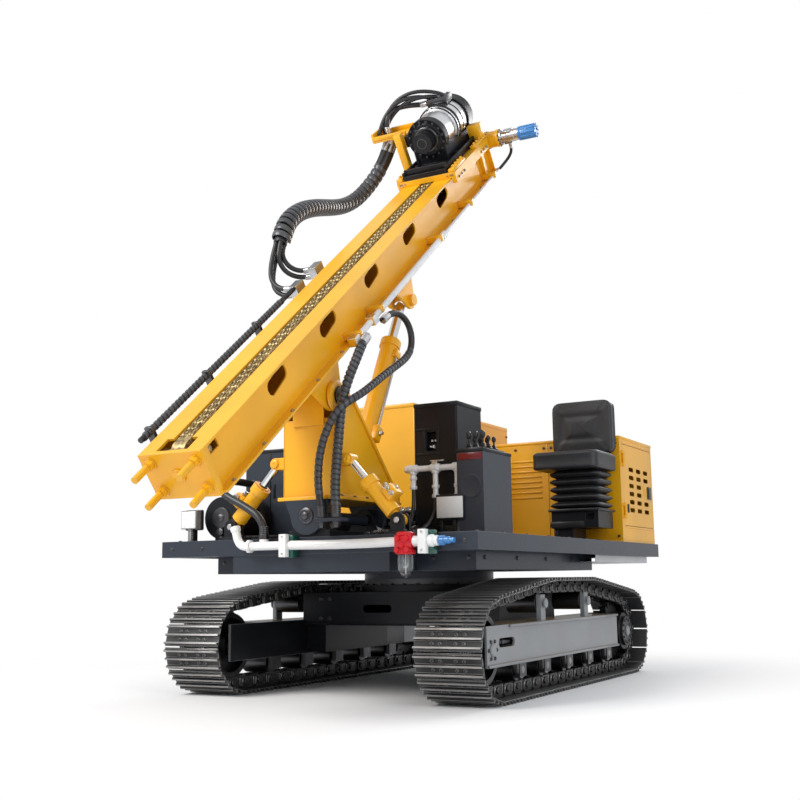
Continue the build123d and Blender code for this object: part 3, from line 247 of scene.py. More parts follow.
def track_steel():
    """Cast shoes: black in the hollows, polished on the edges that meet the ground, dusty here and there."""
    p = Paint("track_steel")
    soft = p.soft_edge(0.005)
    rub = p.edges(soft) * (p.noise(26.0, 4.0) + 0.2).fade(0.35, 0.65)
    tone = p.blend(p.noise(6.0, 5.0).fade(0.3, 0.8), (0.016, 0.017, 0.019), (0.042, 0.041, 0.04))
    tone = p.blend(p.noise(3.0, 6.0).fade(0.55, 0.85) * 0.35, tone, (0.16, 0.13, 0.085))
    tone = p.blend(rub * 0.75, tone, (0.42, 0.41, 0.4))
    return p.finish(Base_Color=tone, Metallic=rub * 0.6 + 0.25, Roughness=0.52 - rub * 0.2,
        Normal=p.bump(p.noise(150.0, 4.0), 0.0006, soft))


def chain_steel():
    """Oiled roller chain with tan dust in its gaps."""
    p = Paint("oiled_chain")
    tone = p.blend(p.noise(55.0, 4.0).fade(0.35, 0.65), (0.16, 0.11, 0.045), (0.5, 0.36, 0.15))
    return p.finish(Base_Color=tone, Metallic=0.35, Roughness=0.42, Normal=p.soft_edge(0.0015))


shoes, chain_metal = track_steel(), chain_steel()
worn_steel = metal("worn_bars", (0.38, 0.37, 0.36), 0.36, 0.0001, 0.001, dirt=0.6)
engine_steel = metal("engine_block", (0.16, 0.16, 0.17), 0.5, 0.0002, dirt=0.5)
print("metals ready")

# %% [markdown]
# Rubber, vinyl and plastics have little colour of their own, so they live by how they take the light: hoses
# are satin with a wrapped-cloth imprint, bellows are dull in the folds and shinier on the ridges, the seat's
# vinyl has a pebbled grain, and the lubricator's cap and bowl are moulded and glossy.

# %% Rubber and plastics
def rubber(name, colour, rough, grain_scale, grain):
    """Dark rubber with a grain: roughness and height come from the same fine noise."""
    p = Paint(name)
    fine = p.noise(grain_scale, 3.0)
    tone = p.blend(p.noise(7.0, 5.0).fade(0.4, 0.85) * 0.5, colour, [c * 2.2 + 0.01 for c in colour])
    return p.finish(Base_Color=tone, Roughness=fine * 0.12 + (rough - 0.06), Normal=p.bump(fine, grain))


def leather(name, colour):
    """Pebbled vinyl: cells of a Voronoi pattern, domed, with creases between them."""
    p = Paint(name)
    cells = p.node("TexVoronoi", {"feature": "SMOOTH_F1"}, {"Vector": p.place, "Scale": 260.0}, "Distance")
    tone = p.blend(p.noise(4.0, 4.0).fade(0.3, 0.8), colour, [c * 1.5 for c in colour])
    return p.finish(Base_Color=tone, Roughness=cells * 0.18 + 0.36, Normal=p.bump(1.0 - cells, 0.0004))


def moulded(name, colour, rough=0.22, clear=0.0):
    """Glossy plastic, clear if asked: the light goes through it and is bent a little."""
    p = Paint(name)
    tone = p.blend(p.noise(30.0, 3.0), [c * 0.92 for c in colour], colour)
    return p.finish(Base_Color=tone, Roughness=p.noise(90.0) * 0.05 + (rough - 0.02),
        Transmission_Weight=clear, IOR=1.45, Normal=p.bump(p.noise(200.0), 0.00003))


hose_rubber = rubber("hose_rubber", (0.012, 0.012, 0.014), 0.42, 240.0, 0.00025)
bellows_rubber = rubber("bellows_rubber", (0.014, 0.014, 0.016), 0.48, 160.0, 0.0002)
guard_plastic = rubber("hose_guard", (0.05, 0.052, 0.057), 0.32, 120.0, 0.00008)
vinyl = leather("seat_vinyl", (0.018, 0.019, 0.022))
maroon = moulded("dark_red_strip", (0.14, 0.01, 0.012))
red_plastic = moulded("red_cap", (0.62, 0.012, 0.02))
clear_plastic = moulded("clear_bowl", (0.92, 0.94, 0.95), 0.08, 1.0)
white_plastic = moulded("white_plate", (0.82, 0.83, 0.83), 0.3)
black_plastic = moulded("black_moulding", (0.014, 0.014, 0.016), 0.34)
lamp_glass = moulded("lamp_glass", (0.86, 0.88, 0.9), 0.05, 0.75)
print("rubber and plastics ready")

# %% [markdown]
# Every added piece is a surface worked out as a whole array of points. Four kinds are enough for a machine:
# a profile spun round an axis, a box whose edges are rounded, a flat plate with any outline, and a section
# carried along a line. Each gives its points and faces; parts are then moved, repeated and joined.

# %% Surfaces
RIGHT, BACK, UP, FRONT = (1, 0, 0), (0, 1, 0), (0, 0, 1), (0, -1, 0)


def skin(points, round_u=False, round_v=False, caps=False):
    """Quads over a grid of points. A round direction joins its last row to its first; caps close v's ends."""
    nu, nv = points.shape[:2]
    u, v = np.meshgrid(np.arange(nu if round_u else nu - 1), np.arange(nv if round_v else nv - 1),
        indexing="ij")
    u_next, v_next = (u + 1) % nu, (v + 1) % nv
    corners = [u * nv + v, u_next * nv + v, u_next * nv + v_next, u * nv + v_next]
    faces = np.stack(corners, -1).reshape(-1, 4).tolist()
    if caps:
        faces += [(np.arange(nu)[::-1] * nv).tolist(), (np.arange(nu) * nv + nv - 1).tolist()]
    return points.reshape(-1, 3), faces


def spun(profile, sides=24):
    """Surface of revolution about Z: x = r cos a, y = r sin a, z = z, for each (r, z) of the profile."""
    r, z = np.asarray(profile, float).T
    a = (np.arange(sides) + 0.5) * 2 * np.pi / sides
    points = np.stack([np.outer(np.cos(a), r), np.outer(np.sin(a), r), np.broadcast_to(z, (sides, len(z)))],
        -1)
    return skin(points, round_u=True)


def soft_box(low, high, r, steps=2):
    """Box with round edges: a small ball's surface, with each eighth pushed out to its corner of the box."""
    low, high = np.asarray(low, float), np.asarray(high, float)
    half = (high - low) / 2
    r = min(r, half.min() * 0.999)
    bend = np.linspace(0, np.pi / 2, steps + 1)
    a = np.concatenate([bend + k * np.pi / 2 for k in range(4)])[:, None]
    sx = np.repeat([1, -1, -1, 1], steps + 1)[:, None]
    sy = np.repeat([1, 1, -1, -1], steps + 1)[:, None]
    b = np.concatenate([bend - np.pi / 2, bend])[None, :]
    sz = np.repeat([-1, 1], steps + 1)[None, :]
    x, y, z = half - r
    points = np.stack([sx * x + r * np.cos(b) * np.cos(a), sy * y + r * np.cos(b) * np.sin(a), sz * z
        + r * np.sin(b) * np.ones_like(a)], -1)
    return skin(points + (low + high) / 2, round_u=True, caps=True)


def inset(outline, d):
    """Every corner of an anticlockwise outline moved in by d from both of its sides."""
    p = np.asarray(outline, float)
    side = np.roll(p, -1, 0) - p
    side /= np.linalg.norm(side, axis=1)[:, None]
    n = np.stack([-side[:, 1], side[:, 0]], -1)
    before = np.roll(n, 1, 0)
    return p + d * (n + before) / (1 + (n * before).sum(1))[:, None]


def plate(outline, z0, z1, r=0.002):
    """Flat plate on an outline in X and Y, from z0 to z1, its edges broken by two small slopes."""
    rings = [(r, z0), (0.3 * r, z0 + 0.3 * r), (0, z0 + r), (0, z1 - r), (0.3 * r, z1 - 0.3 * r), (r, z1)]
    points = np.stack([np.c_[inset(outline, d), np.full(len(outline), z)] for d, z in rings], 1)
    return skin(points, round_u=True, caps=True)


def side_plate(outline, x0, x1, r=0.001):
    """Plate square to X with its outline given along Y and Z, edges broken."""
    points, faces = plate(outline, x0, x1, r)
    return np.stack([points[:, 2], points[:, 0], points[:, 1]], -1), faces


def directions(path, aside, joined=False):
    """Ahead, across and rise at every point of a line; across stays square to 'aside'."""
    ahead = np.roll(path, -1, 0) - np.roll(path, 1, 0) if joined else np.gradient(path, axis=0)
    ahead /= np.linalg.norm(ahead, axis=1)[:, None]
    across = np.cross(ahead, aside)
    across /= np.linalg.norm(across, axis=1)[:, None]
    return ahead, across, np.cross(across, ahead)


def swept(path, section, aside=RIGHT, joined=False):
    """Section (across, up) carried along a line of points, square to it; a joined line is closed."""
    path, section = np.asarray(path, float), np.asarray(section, float)
    _, across, rise = directions(path, aside, joined)
    points = path[None] + section[:, 0, None, None] * across[None] + section[:, 1, None, None] * rise[None]
    return skin(points, round_u=True, round_v=joined, caps=not joined)


def circle(r, sides=12):
    """Points of a circle, as a section to carry."""
    a = np.arange(sides) * 2 * np.pi / sides
    return np.stack([r * np.cos(a), r * np.sin(a)], -1)


def moved(part, at=(0, 0, 0), axis=UP, aside=None, scale=1.0):
    """Part with its own Z laid along an axis and its origin put at a point."""
    z = Vector(axis).normalized()
    x = Vector(aside if aside is not None else RIGHT if abs(z.x) < 0.9 else BACK)
    y = z.cross(x).normalized()
    x = y.cross(z)
    return part[0] @ (np.array([x, y, z]) * scale) + np.asarray(at, float), part[1]


def turned(profile, sides, at, axis=UP, **more):
    """Profile spun, laid along an axis and put at a place."""
    return moved(spun(profile, sides), at, axis, **more)


def joined(parts):
    """Several parts as one: their points in a row, their faces counted on."""
    points, faces, count = [], [], 0
    for p, f in parts:
        points.append(p)
        faces += [[k + count for k in face] for face in f]
        count += len(p)
    return np.concatenate(points), faces


def button(r, wall, r_top, high):
    """Profile of a cap to spin: straight wall, then a slope to a smaller flat top."""
    return [(0, 0), (r, 0), (r, wall), (r_top, high), (0, high)]


def copies(part, places):
    """The same part at many places, added as one array: places (n, 3) against points (m, 3)."""
    p, f = part
    places = np.asarray(places, float).reshape(-1, 3)
    points = (places[:, None] + p[None]).reshape(-1, 3)
    faces = [[k + n * len(p) for k in face] for n in range(len(places)) for face in f]
    return points, faces


def to_mast(part):
    """Part built across, along and above the mast, put on it."""
    return on_mast(part[0]), part[1]


# %% Pieces
made = {}
USUAL_SLOT = {
    "yellow": (yellow,),
    "black_paint": (black_paint, black_plastic),
    "roller": (dark_steel, worn_steel),
    "steel": (steel, blue_metal),
    "hose": (hose_rubber, guard_plastic),
    "white_paint": (white_plastic, white_paint),
    "chain": (brown_steel,),
    "chrome": (satin,),
    "deck_grey": (deck_paint,),
    "red": (maroon, red_plastic),
    "undercarriage_grey": (grey_paint,),
}
SLOT_OF = {finish: slot for slot, finishes in USUAL_SLOT.items() for finish in finishes}


def piece(name, parts, body, material, sharp=32.0, slot=None, replaces=()):
    """Mesh object of all the parts: doubles merged, faces turned outwards, and smooth up to an angle.

    It works out the slot its finish usually has, unless one is named, but does not keep it.
    """
    points, faces = joined(parts)
    mesh = bpy.data.meshes.new(name)
    mesh.from_pydata(points, [], faces)
    clean = bmesh.new()
    clean.from_mesh(mesh)
    bmesh.ops.remove_doubles(clean, verts=clean.verts, dist=1e-6)
    bmesh.ops.recalc_face_normals(clean, faces=clean.faces)
    clean.to_mesh(mesh)
    clean.free()
    mesh.shade_smooth()
    mesh.set_sharp_from_angle(angle=math.radians(sharp))
    mesh.materials.append(material)
    obj = bpy.data.objects.new(name, mesh)
    bpy.context.scene.collection.objects.link(obj)
    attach(obj, body)
    slot = slot or SLOT_OF.get(material)
    if replaces:
        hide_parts(*replaces)
    made[name] = len(mesh.polygons)
    return obj


def mast_piece(name, parts, *rest, **more):
    """Piece whose parts are built across, along and above the mast."""
    return piece(name, [to_mast(part) for part in parts], *rest, **more)


def hex_bolt(r, h, washer=True):
    """Bolt head along Z from 0: washer, six-sided head with a chamfer."""
    head = spun([(0, 0), (r, 0), (r, 0.8 * h), (0.86 * r, h), (0, h)], 6)
    flat = spun([(0, 0), (1.35 * r, 0), (1.35 * r, 0.18 * h), (0, 0.18 * h)], 16)
    return joined([head, flat]) if washer else head


def bolt(r, h, at, axis=UP, washer=True):
    """Bolt head at a place, pointing along an axis."""
    return moved(hex_bolt(r, h, washer), at, axis)


def ring_of(part, count, r, start=0.0):
    """Copies of a part on a circle about Z."""
    a = start + np.arange(count) * 2 * np.pi / count
    return copies(part, np.stack([r * np.cos(a), r * np.sin(a), 0 * a], -1))


print("shape helpers ready")

# %% [markdown]
# The hoses come first, because they decide how much room the machine takes. Each is one smooth NURBS curve
# whose control points are the same route the CAD tube follows, so it lies where the frame expects it, and a
# round bevel gives it its thickness.

# %% Hoses
def hose(name, points, diameter, body, node):
    """NURBS curve of order 3 through its end points, with a round bevel, in place of a CAD hose."""
    curve = bpy.data.curves.new(name, "CURVE")
    curve.dimensions, curve.resolution_u = "3D", 10
    line = curve.splines.new("NURBS")
    line.points.add(len(points) - 1)
    line.points.foreach_set("co", np.c_[np.asarray(points, float), np.ones(len(points))].ravel())
    line.order_u, line.use_endpoint_u = 3, True
    bare = bpy.data.objects.new(name + "_line", curve)
    mesh = bpy.data.meshes.new_from_object(bare)
    path = np.zeros(len(mesh.vertices) * 3)
    mesh.vertices.foreach_get("co", path)
    path = path.reshape(-1, 3)
    bpy.data.objects.remove(bare)
    curve.bevel_depth, curve.bevel_resolution = diameter / 2, 5
    curve.use_fill_caps = True
    curve.materials.append(hose_rubber)
    obj = bpy.data.objects.new(name, curve)
    bpy.context.scene.collection.objects.link(obj)
    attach(obj, body)
    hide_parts(node)
    points[0]
    return path


def mm(points):
    """Millimetres to metres."""
    return [tuple(c / 1000 for c in p) for p in points]


def beside(points):
    """Across the mast, from its foot and below its front face, in millimetres, to the machine's frame."""
    x, along, deep = np.asarray(points, float).T / 1000
    return [tuple(p) for p in on_mast(np.stack([x, along, -deep], -1))]


bundle_path = hose("head_bundle", beside([(-325, 3400, -215), (-370.3, 3357.7, -136.5), (-428, 3290, -66),
    (-482, 3190, -14), (-518, 3068, 10), (-532, 2925, -8), (-522, 2775, -56), (-496, 2620, -116),
    (-474, 2475, -170), (-462, 2345, -208), (-454, 2230, -226), (-447, 2124, -225), (-440, 2034, -201),
    (-442, 1960, -156)]), 0.078, "mast", "head_hose_bundle")
branches = [
    [(-426, 1967.7, -142), (-427.1, 1926.5, -116.9), (-414.6, 1897, -80.7), (-388.8, 1883.7, -42.2),
     (-352.7, 1887, -10.4), (-308.7, 1900, 5), (-260.3, 1900, 5)],
    [(-426, 1951.1, -169.3), (-427.4, 1898.8, -137.4), (-427.9, 1866.7, -84.7), (-412, 1862.3, -25.2),
     (-374.9, 1879.2, 21.2), (-321.9, 1900, 45), (-260.3, 1900, 45)],
    [(-458, 1968.4, -142.4), (-459.4, 1917.1, -111.2), (-458.2, 1865.9, -80), (-454.1, 1814.8, -48.8),
     (-443.3, 1764.6, -18), (-419.5, 1717.9, 10.6), (-376.3, 1683, 32), (-320, 1662, 45), (-260.3, 1662, 45)],
    [(-458, 1951.7, -169.7), (-459.3, 1903, -140.1), (-457.8, 1854.1, -110.5), (-452.6, 1805.5, -81.2),
     (-439.5, 1758, -52.6), (-413.3, 1714.8, -26.6), (-370.6, 1682.8, -7.4), (-317.1, 1662, 5),
      (-260.3, 1662, 5)]]
branch_paths = []
for k, route in enumerate(branches):
    branch_paths.append(hose(f"branch_{k + 1}", beside(route), 0.028, "mast", f"branch_hose_{k + 1}"))
loop_path = hose("head_loop", beside([(-320, 3420, -273.3), (-320, 3420, -318), (-313, 3434, -361),
    (-297, 3462, -391), (-273, 3497, -404), (-241, 3532, -404), (-203, 3563, -396), (-160, 3587, -384),
    (-114, 3600, -372), (-70.3, 3600, -372)]), 0.034, "carriage", "head_loop_hose")
motor_path = hose("feed_motor_line", beside([(330, 3785, 48.3), (330, 3785, 94.6), (305.5, 3792.7, 134.3),
    (270.3, 3792.8, 165.7), (238.5, 3767.8, 189.2), (222, 3725.5, 200), (222, 3690.3, 200)]), 0.02, "mast",
    "feed_motor_hose")
supply_path = hose("supply_line", mm([(268.3, -985, 1925), (268.3, -940, 1958), (274, -885, 1985),
    (284, -818, 1991), (290, -749, 1957), (293, -713, 1890), (293, -724, 1814), (291, -780, 1756),
    (288, -870, 1704), (284, -960, 1655), (281, -1050, 1602), (280, -1140, 1550), (279, -1215, 1508),
    (266, -1290, 1468), (240, -1333, 1437), (202, -1352, 1394), (166, -1353, 1335), (130, -1350, 1262),
    (106, -1346, 1175), (98, -1343, 1085), (103, -1342, 1005), (116, -1342, 945), (116, -1342, 885.3)]),
    0.036, "column", "supply_hose")
return_path = hose("return_line", mm([(271.3, -1150, 1812), (271.3, -1185, 1780), (274, -1222, 1735),
    (270, -1258, 1672), (250, -1284, 1595), (224, -1296, 1510), (204, -1298, 1420), (194, -1298, 1325),
    (188, -1304, 1225), (186, -1317, 1125), (189, -1332, 1030), (200, -1340, 950), (200, -1340, 885.3)]),
    0.042, "column", "return_hose")
deck_path = hose("deck_line", mm([(-610, -860.3, 1120), (-610, -930, 1120), (-610, -1010, 1123),
    (-608, -1095, 1124), (-602, -1175, 1112), (-582, -1243, 1092), (-542, -1290, 1062), (-492, -1313, 1030),
    (-439, -1320, 1003), (-385, -1324, 979), (-330, -1328, 950), (-278, -1331, 920), (-248, -1332, 884),
    (-232, -1332, 840), (-232, -1332, 796)]), 0.04, "deck", "deck_hose")

# %% [markdown]
# A spiral guard is a flat plastic strip wound round a hose. Its middle line is the hose's own line plus a
# circle turning at a steady rate, so it follows every bend. Ferrules are the crimped sleeves at the ends.

# %% Spiral guards and ferrules
def evenly(path, step):
    """Points spaced evenly along a line, worked out by its running length."""
    run = np.r_[0, np.cumsum(np.linalg.norm(np.diff(path, axis=0), axis=1))]
    at = np.linspace(0, run[-1], max(2, int(round(run[-1] / step)) + 1))
    return np.stack([np.interp(at, run, path[:, k]) for k in range(3)], -1), at


def wound(path, radius, pitch, width, thick, start, end, flare=0.0, steps=20):
    """Strip wound round a line: centre + radius (across cos a + rise sin a), a growing by a turn each pitch.

    Flare is how much the radius has grown at the line's end.
    """
    centre, at = evenly(path, pitch / steps)
    run = at[-1]
    ahead, across, rise = directions(centre, RIGHT)
    keep = (at >= start) & (at <= end)
    centre, ahead, across, rise, at = centre[keep], ahead[keep], across[keep], rise[keep], at[keep]
    a = (2 * np.pi * at / pitch)[:, None]
    out = across * np.cos(a) + rise * np.sin(a)
    grown = (radius + flare * at / run)[:, None]
    corners = [(0, -0.5), (0.7 * thick, -0.5), (thick, -0.3), (thick, 0.3), (0.7 * thick, 0.5), (0, 0.5)]
    points = np.stack([centre + out * (grown + r) + ahead * (w * width) for r, w in corners])
    return skin(points, round_u=True, caps=True)


def ferrule(at, axis, r, length=0.045):
    """Crimped sleeve with a hexagon nut at its far end, along an axis."""
    sleeve = [(0, 0), (1.02 * r, 0), (1.22 * r, 0.003)]
    for k in range(4):
        z = 0.006 + k * 0.22 * length
        sleeve += [(1.22 * r, z), (1.12 * r, z + 0.03 * length), (1.12 * r, z + 0.08 * length),
            (1.22 * r, z + 0.11 * length)]
    sleeve += [(1.22 * r, length), (0.9 * r, length + 0.002), (0, length + 0.002)]
    nut = spun([(0, length), (1.3 * r, length), (1.3 * r, length + 0.8 * r), (1.1 * r, length + 1.0 * r),
        (0, length + r)], 6)
    return moved(joined([spun(sleeve, 20), nut]), at, axis)


def end_ferrules(path, r, length=0.045, which=(0, -1)):
    """Ferrules over a hose's ends, each starting a little way in and pointing out along the line."""
    parts = []
    for k in which:
        tip, inner = (path[0], path[2]) if k == 0 else (path[-1], path[-3])
        axis = (tip - inner) / np.linalg.norm(tip - inner)
        parts.append(ferrule(tip - axis * (length + r), axis, r, length))
    return parts


def strands(path, count, radius, r, start, end):
    """Thin hoses side by side round a line, from start to end along it."""
    centre, at = evenly(path, 0.01)
    centre = centre[(at >= start) & (at <= end)]
    _, across, rise = directions(centre, RIGHT)
    turns = np.arange(count) * 2 * np.pi / count
    return [swept(centre + radius * (np.cos(a) * across + np.sin(a) * rise), circle(r, 10)) for a in turns]


piece("bundle_guard", [wound(bundle_path, 0.0385, 0.044, 0.034, 0.0075, 0.15, 1.6, 0.012)], "mast",
    guard_plastic)
piece("bundle_ends", strands(bundle_path, 7, 0.034, 0.0138, 0.0, 0.05), "mast", steel)
piece("bundle_strands", strands(bundle_path, 7, 0.034, 0.0125, 0.005, 0.17), "mast", hose_rubber)
piece("supply_guard", [wound(supply_path, 0.0178, 0.03, 0.021, 0.0026, 0.42, 1.6)], "column", guard_plastic)
piece("return_guard", [wound(return_path, 0.0208, 0.026, 0.019, 0.004, 0.08, 0.93)], "column", guard_plastic)
piece("mast_ferrules", [part for path in branch_paths for part in end_ferrules(path, 0.0135, which=(-1,))]
    + end_ferrules(motor_path, 0.0095, 0.03), "mast", steel)
piece("head_ferrules", end_ferrules(loop_path, 0.0165, 0.035), "carriage", steel)
piece("column_ferrules", end_ferrules(supply_path, 0.0175, which=(0,))
    + end_ferrules(return_path, 0.0205, which=(0,)), "column", steel)
piece("lower_ferrules", end_ferrules(supply_path, 0.0175, which=(-1,))
    + end_ferrules(return_path, 0.0205, which=(-1,)), "column", dark_steel)
piece("deck_ferrules", end_ferrules(deck_path, 0.0195), "deck", dark_steel)
print("guards and ferrules:", sum(made.values()), "faces")

# %% [markdown]
# The CAD nodes keep their shapes and get their finishes here. A table from finish to nodes is easier to check
# than sixty single lines, and any node that is missing from it is printed by name.

# %% Finishes of the frame
finishes = {
    shoes: "track_right track_left",
    grey_paint: "track_frames",
    dark_steel: "track_rollers idlers_and_sprockets slew_ring mast_pin",
    black_paint: "centre_frame tilt_bearing side_cylinder_feet control_cabinet lever_bank air_tank "
                 "seat_base rotary_head spindle",
    deck_paint: "deck_frame console left_cabinet column_lugs",
    pale_sheet: "engine_tray",
    yellow: "engine_cover tank_hood engine_door column side_barrel_right side_barrel_left "
            "mast_beam mast_hinge lift_bracket feed_drive lift_barrel carriage hose_bracket",
    chrome: "side_rod_right side_rod_left lift_rod",
    chain_metal: "feed_chain",
    steel: "mast_hose_fittings",
    white_paint: "air_line air_manifold line_clamps mast_pipes",
    red_plastic: "lubricator",
    bellows_rubber: "seat_bellows",
    vinyl: "seat_cushion seat_back",
    lamp_glass: "work_lamp",
    hose_rubber: "mast_side_hoses head_hose_bundle branch_hose_1 branch_hose_2 branch_hose_3 "
                 "branch_hose_4 head_loop_hose feed_motor_hose supply_hose return_hose deck_hose",
    engine_steel: "engine",
}
for finish, names in finishes.items():
    for name in names.split():
        nodes[name].data.materials.clear()
        nodes[name].data.materials.append(finish)
bare = sorted(set(nodes) - {name for names in finishes.values() for name in names.split()})
print("nodes without a finish:", bare)

# %% [markdown]
# The tracks. A chain of 46 shoes lies round the idler, two carrier rollers, the sprocket and the ground. The
# belt line is made of arcs and straight stretches, as in the frame, and every shoe is one chord of it.
# A shoe, its bolts, its links and its pin are built once and put at all 46 chords as one array.

# %% Belt line
TRACK_X, SHOE_HALF, SHOES = 0.745, 0.175, 46
SHOE_PLATE, BAR_HEIGHT, LINK = 0.008, 0.016, 0.06
WHEEL_Y, WHEEL_Z, WHEEL_R = 1.026, 0.254, 0.17
CARRIER_Z, CARRIER_R, CARRIER_Y = 0.456, 0.05, (-0.35, 0.31)


def belt_line(grow, steps=400):
    """Points (y, z) round the wheels at a distance from them: arcs, with straight stretches between."""
    rounds = [(-WHEEL_Y, WHEEL_Z, WHEEL_R + grow)] + [(y, CARRIER_Z, CARRIER_R + grow) for y in CARRIER_Y]
    rounds.append((WHEEL_Y, WHEEL_Z, WHEEL_R + grow))
    leave = []
    for k, (y0, z0, r0) in enumerate(rounds):
        y1, z1, r1 = rounds[(k + 1) % 4]
        leave.append(math.atan2(z1 - z0, y1 - y0) + math.pi / 2
            + math.asin((r1 - r0) / math.hypot(y1 - y0, z1 - z0)))
    line = []
    for k, (y, z, r) in enumerate(rounds):
        start, end = leave[k - 1], leave[k]
        while end > start:
            end -= 2 * math.pi
        a = np.linspace(start, end, steps)
        line.append(np.stack([y + r * np.cos(a), z + r * np.sin(a)], -1))
    line = np.concatenate(line)
    return np.concatenate([line, line[:1]])


belt = belt_line(LINK)
run = np.r_[0, np.cumsum(np.linalg.norm(np.diff(belt, axis=0), axis=1))]
marks = np.linspace(0, run[-1], SHOES + 1)[:-1]
chords = np.stack([np.interp(marks, run, belt[:, k]) for k in range(2)], -1)
PITCH = run[-1] / SHOES
print("track pitch", round(PITCH, 4), "m over", round(run[-1], 3), "m")


def on_track(part, side):
    """Part built across, along and out from a shoe's start, put at every shoe of one track."""
    x, s, n = part[0].T
    step = np.roll(chords, -1, 0) - chords
    long = np.linalg.norm(step, axis=1)
    ty, tz = (step / long[:, None]).T
    s = s[None] * (long / PITCH)[:, None]
    y = chords[:, :1] + ty[:, None] * s - tz[:, None] * n
    z = chords[:, 1:] + tz[:, None] * s + ty[:, None] * n
    points = np.stack([np.broadcast_to(x + side * TRACK_X, y.shape), y, z], -1).reshape(-1, 3)
    return points, [[k + m * len(x) for k in face] for m in range(SHOES) for face in part[1]]


# %% Shoes, links and pins
BARS = [share * PITCH for share in (0.14, 0.5, 0.86)]
CUT = BAR_HEIGHT + SHOE_PLATE
shoe_line = [(0.0025, 0.003), (PITCH - 0.0025, 0.003), (PITCH - 0.0025, SHOE_PLATE)]
for at in BARS[::-1]:
    shoe_line += [(at + 0.0075, SHOE_PLATE), (at + 0.0045, CUT - 0.0008), (at - 0.0045, CUT - 0.0008),
        (at - 0.0075, SHOE_PLATE)]
shoe_line += [(0.0025, SHOE_PLATE)]
shoe = side_plate(shoe_line, -SHOE_HALF, SHOE_HALF)
tips = joined([side_plate(
    [(at - 0.0042, CUT - 0.003), (at + 0.0042, CUT - 0.003), (at + 0.0042, CUT), (at - 0.0042, CUT)],
    -SHOE_HALF + 0.001, SHOE_HALF - 0.001, 0.0005) for at in BARS])
bolts = copies(hex_bolt(0.0085, 0.0065, False),
    [(x, s * PITCH, SHOE_PLATE) for x in (-0.082, -0.04, 0.04, 0.082) for s in (0.32, 0.68)])
links = []
for x, lean in ((-0.06, -1), (0.06, 1)):
    for s0, s1, shift in ((-0.024, 0.55 * PITCH, 0.0), (0.45 * PITCH, PITCH + 0.024, 0.012)):
        low, high = x + lean * shift - 0.0085, x + lean * shift + 0.0085
        links.append(side_plate([(s0, -0.05), (s0 + 0.01, -0.058), (s1 - 0.01, -0.058), (s1, -0.05),
            (s1, -0.012), (s1 - 0.012, 0.001), (s0 + 0.012, 0.001), (s0, -0.012)], low, high))
pin = turned([(0, -0.095), (0.014, -0.095), (0.016, -0.092), (0.016, 0.092), (0.014, 0.095), (0, 0.095)], 14,
    (0, 0, -0.034), RIGHT)
for side, word in ((1, "right"), (-1, "left")):
    piece(f"{word}_track_shoes", [on_track(shoe, side), on_track(bolts, side)], "undercarriage", shoes, 25,
        "track", [f"track_{word}"])
    piece(f"{word}_track_tips", [on_track(tips, side)], "undercarriage", worn_steel, 25, "track")
    piece(f"{word}_track_links", [on_track(joined(links), side), on_track(pin, side)], "undercarriage", shoes,
        25, "track")

# %% [markdown]
# The frames between the wheels carry bolt rings on the final drives and idler hubs, a lip along the lower
# edge, roller shaft caps and the track adjuster that shows through the slot.

# %% Track frames and wheels
frame_parts, frame_bolts, caps_below = [], [], []
for side in (1, -1):
    outer = side * (TRACK_X + 0.122)
    low, high = sorted((outer, outer + side * 0.012))
    frame_parts.append(soft_box((low, -1.088, 0.173), (high, 0.81, 0.187), 0.003))
    frame_parts.append(soft_box((low, -0.832, 0.352), (high, 0.81, 0.366), 0.003))
    for k in range(5):
        y = (k - 2) * 0.33
        cup = [(y - 0.05, 0.172), (y - 0.046, 0.128), (y - 0.03, 0.104), (y, 0.094), (y + 0.03, 0.104),
            (y + 0.046, 0.128), (y + 0.05, 0.172)]
        x0, x1 = sorted((side * (TRACK_X + 0.086), side * (TRACK_X + 0.112)))
        caps_below.append(side_plate(cup, x0, x1, 0.004))
        caps_below.append(
            turned(button(0.022, 0.004, 0.014, 0.008), 20, (max(x0, x1, key=abs), y, 0.139), (side, 0, 0)))
    for y, count in ((WHEEL_Y, 12), (-WHEEL_Y, 6)):
        face = side * (TRACK_X + (0.116 if y > 0 else 0.122))
        radius = 0.072 if y > 0 else 0.045
        frame_bolts.append(
            moved(ring_of(hex_bolt(0.0075, 0.007), count, radius), (face, y, WHEEL_Z), (side, 0, 0)))
        frame_parts.append(turned(button(0.032, 0.004, 0.026, 0.009), 24, (face, y, WHEEL_Z), (side, 0, 0)))
    for y in CARRIER_Y:
        frame_parts.append(turned(button(0.026, 0.006, 0.018, 0.01), 24, (outer, y, CARRIER_Z), (side, 0, 0)))
    rod = [(0, -0.16), (0.017, -0.16), (0.017, -0.02), (0.021, -0.02), (0.021, 0.0), (0.017, 0.0),
        (0.017, 0.16), (0, 0.16)]
    frame_bolts.append(turned(rod, 20, (side * (TRACK_X + 0.085), -0.859, 0.283), BACK))
piece("frame_trim", frame_parts, "undercarriage", grey_paint)
piece("roller_cups", caps_below, "undercarriage", worn_steel)
piece("frame_bolts", frame_bolts, "undercarriage", dark_steel)
# black sheets on the inner faces of the grey track frames are painted shade: they make the frames' inner
# sides dark as if in shadow
inner_painted_shade = [soft_box((x - 0.002, -1.088, 0.175), (x + 0.002, 0.808, 0.364), 0.001) for x in (-0.6205, 0.6205)]
piece("inner_frame_painted_shade", inner_painted_shade, "undercarriage", black_paint)
piece("cross_bolts",
    [bolt(0.01, 0.008, (x, -0.4, z), FRONT) for x in (-0.5, -0.44, 0.44, 0.5) for z in (0.375, 0.485)]
    + [moved(ring_of(hex_bolt(0.009, 0.008), 30, 0.388), (0, 0, 0.56), UP)], "undercarriage", dark_steel)
piece("cross_trim", [soft_box((-0.622, -0.404, 0.335), (0.622, -0.392, 0.345), 0.003)], "undercarriage",
    black_paint)
print("undercarriage:", made)

